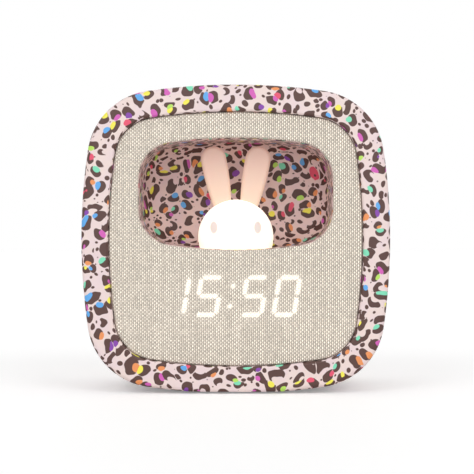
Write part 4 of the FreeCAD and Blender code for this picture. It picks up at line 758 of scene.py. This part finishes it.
@dataclass(frozen=True)
class Linen(Finish):
    """Linen-look cloth that the digits shine through."""

    roughness: float = 0.82
    weft: Colour = shade(196, 183, 167)
    # Painted shade seen in the gaps between the threads.
    painted_gap_shade: Colour = shade(112, 98, 85)
    middle_x: float = -2.1
    middle_z: float = 47.3
    digit_pitch: float = 15.8
    colon_pitch: float = 22.1
    bar_half: float = 4.95
    bar_reach: float = 4.5
    bar_radius: float = 1.08
    bar_gap: float = 1.7
    slant: float = 10.0
    colon_half: float = 4.9
    dot_length: float = 0.001
    relief_depth: float = 0.16
    fuzz_height: float = 0.03
    front_face: float = -33.9
    halo_width: float = 3.0
    halo_share: float = 0.07
    through_threads: float = 0.27
    through_holes: float = 0.7

    def digits(self) -> list[tuple[Pair, Pair]]:
        """Return the ends of each lit bar and dot, in millimetres about the display's middle."""
        inner, outer = self.colon_pitch / 2, self.colon_pitch / 2 + self.digit_pitch
        bars: list[tuple[Pair, Pair]] = []
        for middle, digit in (
            (-outer, Digit.ONE), (-inner, Digit.FIVE), (inner, Digit.FIVE), (outer, Digit.ZERO)
        ):
            for segment in digit.value:
                (x0, z0), (x1, z1) = segment.value
                ends = []
                for x, z, far_x, far_z in ((x0, z0, x1, z1), (x1, z1, x0, z0)):
                    length = math.hypot((far_x - x) * self.bar_half, (far_z - z) * self.bar_reach)
                    inward = self.bar_gap / length
                    place_x = (x + (far_x - x) * inward) * self.bar_half
                    place_z = (z + (far_z - z) * inward) * self.bar_reach
                    ends.append((middle + place_x, place_z))
                bars.append((ends[0], ends[1]))
        for z in (-self.colon_half, self.colon_half):
            bars.append(((0.0, z), (self.dot_length, z)))
        return bars

    def from_digits(self, graph: Graph, point: Socket) -> Socket:
        """Return the distance from the nearest lit bar's middle line, in millimetres."""
        x, _, z = graph.split(point)
        tall = graph.sub(z, self.middle_z)
        lean = graph.mul(tall, math.tan(math.radians(self.slant)))
        flat = graph.vec(graph.sub(graph.sub(x, self.middle_x), lean), 0.0, tall)
        return nearest_stroke(graph, flat, self.digits())

    def display(self, graph: Graph, point: Socket, gaps: Socket) -> Socket:
        """Return the digits' light, which comes mostly through the gaps between the threads."""
        away = self.from_digits(graph, point)
        radius = self.bar_radius
        core = graph.fade(away, radius - 0.5, radius + 0.6, 1.0, 0.0)
        halo = graph.fade(away, radius, radius + self.halo_width, 1.0, 0.0)
        bright = graph.add(core, graph.mul(halo, self.halo_share))
        through = graph.add(self.through_threads, graph.mul(gaps, self.through_holes))
        front = graph.math("LESS_THAN", graph.split(point)[1], self.front_face)
        return graph.scaled(shade(255, 254, 244), graph.mul(graph.mul(bright, through), front))

    def build(self) -> bpy.types.Material:
        """Build the cloth's material.

        Returns:
            The material.
        """
        graph, shader, material = self.start()
        flat = graph.node("Attribute", attribute_name="flat_place").outputs["Vector"]
        place = graph.scaled(flat, 1 / MM)
        weave = graph.use(
            EFFECTS.weave, Place=place, Warp=self.colour, Weft=self.weft, Hole=self.painted_gap_shade
        )
        gaps = weave.outputs["Open"]
        fuzz = graph.chance(place, 5.5, 3.0)
        colour = graph.mix(graph.mul(fuzz, 0.22), weave.outputs["Color"], shade(238, 228, 214))
        rough = graph.add(self.roughness, graph.mul(gaps, 0.12))
        graph.fill(
            shader, Base_Color=colour, Roughness=rough, Sheen_Weight=0.25, Sheen_Roughness=0.6
        )
        threads = graph.mul(weave.outputs["Height"], self.relief_depth)
        height = graph.add(threads, graph.mul(fuzz, self.fuzz_height))
        self.emboss(graph, shader, height, 0.8)
        light = self.display(graph, self.point(graph), gaps)
        graph.fill(shader, Emission_Color=light, Emission_Strength=1.0)
        return material


@dataclass
class Outline:
    """A rounded rectangle of bulging sides and corners, all tangent arcs, in millimetres."""

    half_x: float
    half_z: float
    side_radius: float
    top_radius: float
    corner_radius: float
    middle_z: float
    side_steps: int = 28
    corner_steps: int = 18
    newton_steps: int = 30

    def corner(self) -> Pair:
        """Return the centre of the corner arc that touches a side arc and a top arc from inside."""
        back_x, back_z = self.side_radius - self.half_x, self.top_radius - self.half_z
        x, z = self.half_x - self.corner_radius, self.half_z - self.corner_radius
        for _ in range(self.newton_steps):
            miss_side = (x + back_x) ** 2 + z**2 - (self.side_radius - self.corner_radius) ** 2
            miss_top = x**2 + (z + back_z) ** 2 - (self.top_radius - self.corner_radius) ** 2
            a, b, c, d = 2 * (x + back_x), 2 * z, 2 * x, 2 * (z + back_z)
            scale = a * d - b * c
            x -= (miss_side * d - miss_top * b) / scale
            z -= (miss_top * a - miss_side * c) / scale
        return x, z

    def ring(self) -> Row:
        """Return points round the outline, each with its outward direction, both in X and Z."""
        cx, cz = self.corner()
        side_x, top_z = self.half_x - self.side_radius, self.half_z - self.top_radius
        low, high = math.atan2(cz, cx - side_x), math.atan2(cz - top_z, cx)
        half_round = (
            (side_x, 0.0, self.side_radius, -low, low, self.side_steps),
            (cx, cz, self.corner_radius, low, high, self.corner_steps),
            (0.0, top_z, self.top_radius, high, math.pi - high, self.side_steps),
            (-cx, cz, self.corner_radius, math.pi - high, math.pi - low, self.corner_steps),
        )
        found = []
        for turn, sign in ((0.0, 1), (math.pi, -1)):
            for x, z, radius, start, end, steps in half_round:
                middle = Vector((sign * x, 0.0, sign * z + self.middle_z))
                for step in range(steps):
                    angle = turn + start + (end - start) * step / steps
                    out = Vector((math.cos(angle), 0.0, math.sin(angle)))
                    found.append((middle + out * radius, out))
        return found

    def count(self) -> int:
        """Return the number of points round the outline."""
        return 4 * (self.side_steps + self.corner_steps)


@dataclass
class ClothCover:
    """Woven cloth stretched over the front, turned in round its rim and the hollow's mouth."""

    front: float = -34.2
    back: float = -31.75
    fold: float = 1.0
    thickness: float = 0.42
    fold_steps: int = 7
    flat_rows: int = 7
    start_radius: float = 60.0
    smooth_angle: float = 50.0
    rim: Outline = field(default_factory=lambda: Outline(61.65, 61.65, 283.65, 283.65, 20.85, 75.1))
    mouth: Outline = field(default_factory=lambda: Outline(47.4, 27.4, 1500.0, 218.0, 17.5, 97.0))

    def fold_rows(self, outline: Outline, side: float) -> list[Row]:
        """Return the rows of one fold, from the front to its hidden end.

        Args:
            outline: The outline that the fold follows.
            side: 1 where the cloth ends outwards, -1 where it ends at the mouth.

        Returns:
            The rows, each point with its place on the unfolded cloth.
        """
        steps = []
        for number in range(self.fold_steps + 1):
            angle = math.pi / 2 * number / self.fold_steps
            out = self.fold * (math.sin(angle) - 1)
            depth = self.front + self.fold * (1 - math.cos(angle))
            steps.append((out, depth, self.fold * (angle - 1)))
        reach = self.fold * (math.pi / 2 - 1) + self.back - self.front - self.fold
        steps.append((0.0, self.back, reach))
        rows = []
        for out, depth, along in steps:
            row = []
            for place, away in outline.ring():
                spot, level = place + away * side * out, place + away * side * along
                row.append((Vector((spot.x, depth, spot.z)), level))
            rows.append(row)
        return rows

    def rows(self) -> list[Row]:
        """Return all rows of the cloth, from its outer hidden end to its end in the mouth."""
        outer, inner = self.fold_rows(self.rim, 1.0), self.fold_rows(self.mouth, -1.0)
        shares = [number / self.flat_rows for number in range(1, self.flat_rows)]
        flat = [
            [(a.lerp(c, share), b.lerp(d, share)) for (a, b), (c, d) in zip(outer[0], inner[0])]
            for share in shares
        ]
        return outer[::-1] + flat + inner

    def lay(self, row: Row) -> None:
        """Move the selected ring of points to a row and note its place on the unfolded cloth."""
        mesh = bmesh.from_edit_mesh(bpy.context.object.data)
        number = mesh.verts.layers.int["number"]
        flat = mesh.verts.layers.float_vector["flat_place"]
        for vertex in mesh.verts:
            if vertex.select:
                place, level = row[vertex[number]]
                vertex.co = place * MM
                vertex[flat] = level * MM
        bmesh.update_edit_mesh(bpy.context.object.data)

    def number_ring(self) -> None:
        """Number the points of the first ring by their angle."""
        mesh = bmesh.from_edit_mesh(bpy.context.object.data)
        mesh.verts.layers.float_vector.new("flat_place")
        number = mesh.verts.layers.int.new("number")

        def angle(vertex: bmesh.types.BMVert) -> float:
            """Return a point's angle about the ring's middle, from 0 to a full turn."""
            return math.atan2(vertex.co.z, vertex.co.x) % (2 * math.pi)

        for index, vertex in enumerate(sorted(mesh.verts, key=angle)):
            vertex[number] = index
        bmesh.update_edit_mesh(bpy.context.object.data)

    def build(self) -> bpy.types.Object:
        """Build the cloth and let it stand for its solid.

        Returns:
            The cloth.
        """
        bpy.ops.object.select_all(action="DESELECT")
        bpy.ops.mesh.primitive_circle_add(
            vertices=self.rim.count(), radius=self.start_radius * MM, rotation=(math.pi / 2, 0, 0)
        )
        cloth = bpy.context.object
        cloth.name = "woven_front"
        bpy.ops.object.transform_apply(location=True, rotation=True, scale=True)
        bpy.ops.object.mode_set(mode="EDIT")
        bpy.ops.mesh.select_mode(type="EDGE")
        bpy.ops.mesh.select_all(action="SELECT")
        self.number_ring()
        first, *others = self.rows()
        self.lay(first)
        for row in others:
            bpy.ops.mesh.extrude_edges_move()
            self.lay(row)
        bpy.ops.mesh.select_all(action="SELECT")
        bpy.ops.mesh.normals_make_consistent(inside=False)
        bpy.ops.object.mode_set(mode="OBJECT")
        self.face_front(cloth)
        solid = cloth.modifiers.new("cloth_thickness", "SOLIDIFY")
        solid.thickness = self.thickness * MM
        solid.offset = -1.0
        bpy.ops.object.modifier_apply(modifier=solid.name)
        bpy.ops.object.shade_smooth_by_angle(angle=math.radians(self.smooth_angle))
        cloth.data.materials.append(Linen("linen_weave", shade(250, 242, 229)).build())
        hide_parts("fabric_cover")
        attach(cloth, "clock_case")
        return cloth

    def face_front(self, cloth: bpy.types.Object) -> None:
        """Turn the faces over if they point into the case."""
        front = max(cloth.data.polygons, key=lambda face: face.area)
        if front.normal.y > 0:
            cloth.data.flip_normals()


class Wardrobe:
    """The finish of every solid that stays as it is."""

    button_colour: Colour = shade(244, 232, 226)
    button_roughness: float = 0.38

    def shells(self) -> dict[str, Finish]:
        """Return the finishes of what is seen from outside, by the record's material slot."""
        ink = {"grain": 0.012, "tone": 0.03}
        lit = {"grain": 0.004, "dusty": False}
        return {
            "printed_shell": Printed("printed_case", shade(237, 217, 211), 0.42, **ink),
            "printed_bowl": Printed(
                "printed_hollow", shade(240, 212, 206), 0.5, pitch=6.5, level=8.0, **ink
            ),
            "panel_plastic": Finish("carrier_plastic", shade(222, 214, 202), 0.6),
            "cover_plastic": Finish("cover_plastic", shade(231, 210, 204), 0.56, grain=0.05),
            "button_plastic": Finish("knob_plastic", self.button_colour, self.button_roughness),
            "foot_rubber": Finish("foot_rubber", shade(112, 108, 104), 0.85, grain=0.08),
            "rabbit_milk": Milk("milk_plastic", shade(250, 246, 238), 0.45, tone=0.0, **lit),
            "rabbit_ear": Ear("ear_plastic", shade(236, 188, 168), 0.5, **lit),
        }

    def insides(self) -> dict[str, Finish]:
        """Return the finishes of what sits inside, by the record's material slot."""
        clean = {"dusty": False}
        bare = {"metallic": 1.0, "dusty": False}
        return {
            "inner_white": Finish("inner_white", shade(240, 240, 236), 0.5),
            "circuit_board": Circuit("board_lacquer", shade(28, 96, 58), 0.3, coat=0.4, **clean),
            "led_package": Glowing("lamp_lens", shade(255, 250, 225), 0.3, strength=2.0, **clean),
            "bar_lit": Glowing("lit_diffuser", shade(255, 252, 235), 0.4, strength=1.5, **clean),
            "bar_dark": Finish("dark_diffuser", shade(205, 200, 190), 0.4),
            "switch_black": Finish("black_nylon", shade(38, 38, 40), 0.45),
            "switch_metal": Turned("pressed_steel", shade(190, 190, 192), 0.32, **bare),
            "can_metal": Turned("can_sleeve", shade(205, 205, 210), 0.3, **bare),
            "battery_wrap": Finish(
                "battery_foil", shade(176, 184, 192), 0.28, coat=0.5, grain=0.03
            ),
            "foam": Finish("black_foam", shade(46, 46, 46), 0.95, grain=0.2),
            "speaker_metal": Turned("speaker_paint", shade(48, 48, 50), 0.4, coat=0.2, **clean),
            "wire_skin": Finish("wire_skin", shade(176, 40, 36), 0.42),
            "ribbon": Finish("ribbon_film", shade(222, 210, 170), 0.3, coat=0.3),
            "screw_steel": Turned("screw_zinc", shade(178, 180, 184), 0.3, **bare),
        }

    def marks(self) -> dict[str, Marked]:
        """Return the finish of each button, with its mark."""
        side, upper, lower = 20.0, 50.0, 33.0
        places = {
            "button_minus": (Icon.MINUS, (-side, upper)),
            "button_light": (Icon.LAMP, (0.0, upper)),
            "button_plus": (Icon.PLUS, (side, upper)),
            "button_time": (Icon.CLOCK, (-side, lower)),
            "button_alarm": (Icon.BELL, (side, lower)),
        }
        return {
            node: Marked(
                f"{node}_plastic", self.button_colour, self.button_roughness,
                icon=icon, middle=middle,
            )
            for node, (icon, middle) in places.items()
        }

    def dress(self) -> None:
        """Give every solid its material."""
        slots = self.shells() | self.insides()
        finishes = {slot: finish.build() for slot, finish in slots.items()}
        marks = {node: finish.build() for node, finish in self.marks().items()}
        for part in frame["record"]["subparts"]:
            node = frame["nodes"].get(part["node"])
            material = marks.get(part["node"]) or finishes.get(part["material_slot"])
            if node is None or material is None:
                continue
            node.data.materials.clear()
            node.data.materials.append(material)
            log.info("%s wears %s", part["node"], material.name)


@dataclass
class Studio:
    """White floor, soft light and the camera.

    A light is its angle to the side and its angle above the floor, in degrees, and its strength.
    """

    camera_place: tuple[float, float, float] = (0.0006, -0.656, 0.0760)
    lens: float = 97.3
    sensor_width: float = 36.0
    side_light: tuple[float, float, float] = (38.0, 34.0, 0.58)
    front_light: tuple[float, float, float] = (0.0, 14.0, 0.38)
    rear_light: tuple[float, float, float] = (180.0, 20.0, 0.42)
    sun_softness: float = 34.0
    sky: float = 0.56
    floor_size: float = 12.0
    floor_grain: float = 400.0
    floor_lift: float = 0.24

    def camera(self) -> None:
        """Add the camera at the photograph's place."""
        data = bpy.data.cameras.new("camera")
        data.lens = self.lens
        data.sensor_width = self.sensor_width
        data.clip_start = 0.01
        made = bpy.data.objects.new("camera", data)
        made.location = self.camera_place
        made.rotation_euler = (math.pi / 2, 0.0, 0.0)
        bpy.context.scene.collection.objects.link(made)
        bpy.context.scene.camera = made

    def sun(self, name: str, side: float, height: float, strength: float) -> None:
        """Add a soft distant lamp.

        Args:
            name: The lamp's name.
            side: Its angle to the right of the front, in degrees.
            height: Its angle above the floor, in degrees.
            strength: Its light on a surface that faces it.
        """
        data = bpy.data.lights.new(name, "SUN")
        data.energy = strength
        data.angle = math.radians(self.sun_softness)
        made = bpy.data.objects.new(name, data)
        made.rotation_euler = (math.radians(90 - height), 0.0, math.radians(side))
        bpy.context.scene.collection.objects.link(made)

    def suns(self) -> None:
        """Add the lamps of both sides, the front and the rear."""
        side, height, strength = self.side_light
        self.sun("soft_right", side, height, strength)
        self.sun("soft_left", -side, height, strength)
        self.sun("soft_front", *self.front_light)
        self.sun("soft_rear", *self.rear_light)

    def world(self) -> None:
        """Make the surroundings white to the eye and softly bright as a light."""
        world = bpy.data.worlds.new("surroundings")
        world.use_nodes = True
        bpy.context.scene.world = world
        graph = Graph(world.node_tree)
        rays = graph.node("LightPath").outputs
        seen = graph.math("MAXIMUM", rays["Is Camera Ray"], rays["Is Glossy Ray"])
        seen = graph.math("MAXIMUM", seen, rays["Is Transmission Ray"])
        back = world.node_tree.nodes["Background"]
        strength = graph.fade(seen, 0.0, 1.0, self.sky, 1.0)
        graph.fill(back, Color=(1.0, 1.0, 1.0), Strength=strength)

    def floor(self) -> None:
        """Lay a white floor that keeps the object's shadow."""
        bpy.ops.object.select_all(action="DESELECT")
        bpy.ops.mesh.primitive_plane_add(size=self.floor_size, location=(0.0, 0.0, 0.0))
        floor = bpy.context.object
        floor.name = "floor"
        graph, shader, material = new_material("white_floor")
        place = graph.node("TexCoord").outputs["Object"]
        grain = graph.chance(place, self.floor_grain)
        colour = graph.mix(grain, (0.93, 0.93, 0.93), (0.95, 0.95, 0.95))
        rays = graph.node("LightPath")
        lift = graph.mul(rays.outputs["Is Camera Ray"], self.floor_lift)
        graph.fill(
            shader, Base_Color=colour, Roughness=0.9, Specular_IOR_Level=0.0,
            Emission_Color=graph.vec(lift, lift, lift), Emission_Strength=1.0,
        )
        floor.data.materials.append(material)

    def build(self) -> None:
        """Set up the whole studio."""
        self.camera()
        self.world()
        self.floor()
        self.suns()
        bpy.context.scene.view_settings.view_transform = "Standard"


def main() -> None:
    """Build the clock's looks piece by piece."""
    logging.basicConfig(level=logging.WARNING)
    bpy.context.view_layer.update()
    Wardrobe().dress()
    cloth = ClothCover().build()
    log.info("%s has %d faces", cloth.name, len(cloth.data.polygons))
    Studio().build()


if __name__ == "__main__":
    main()
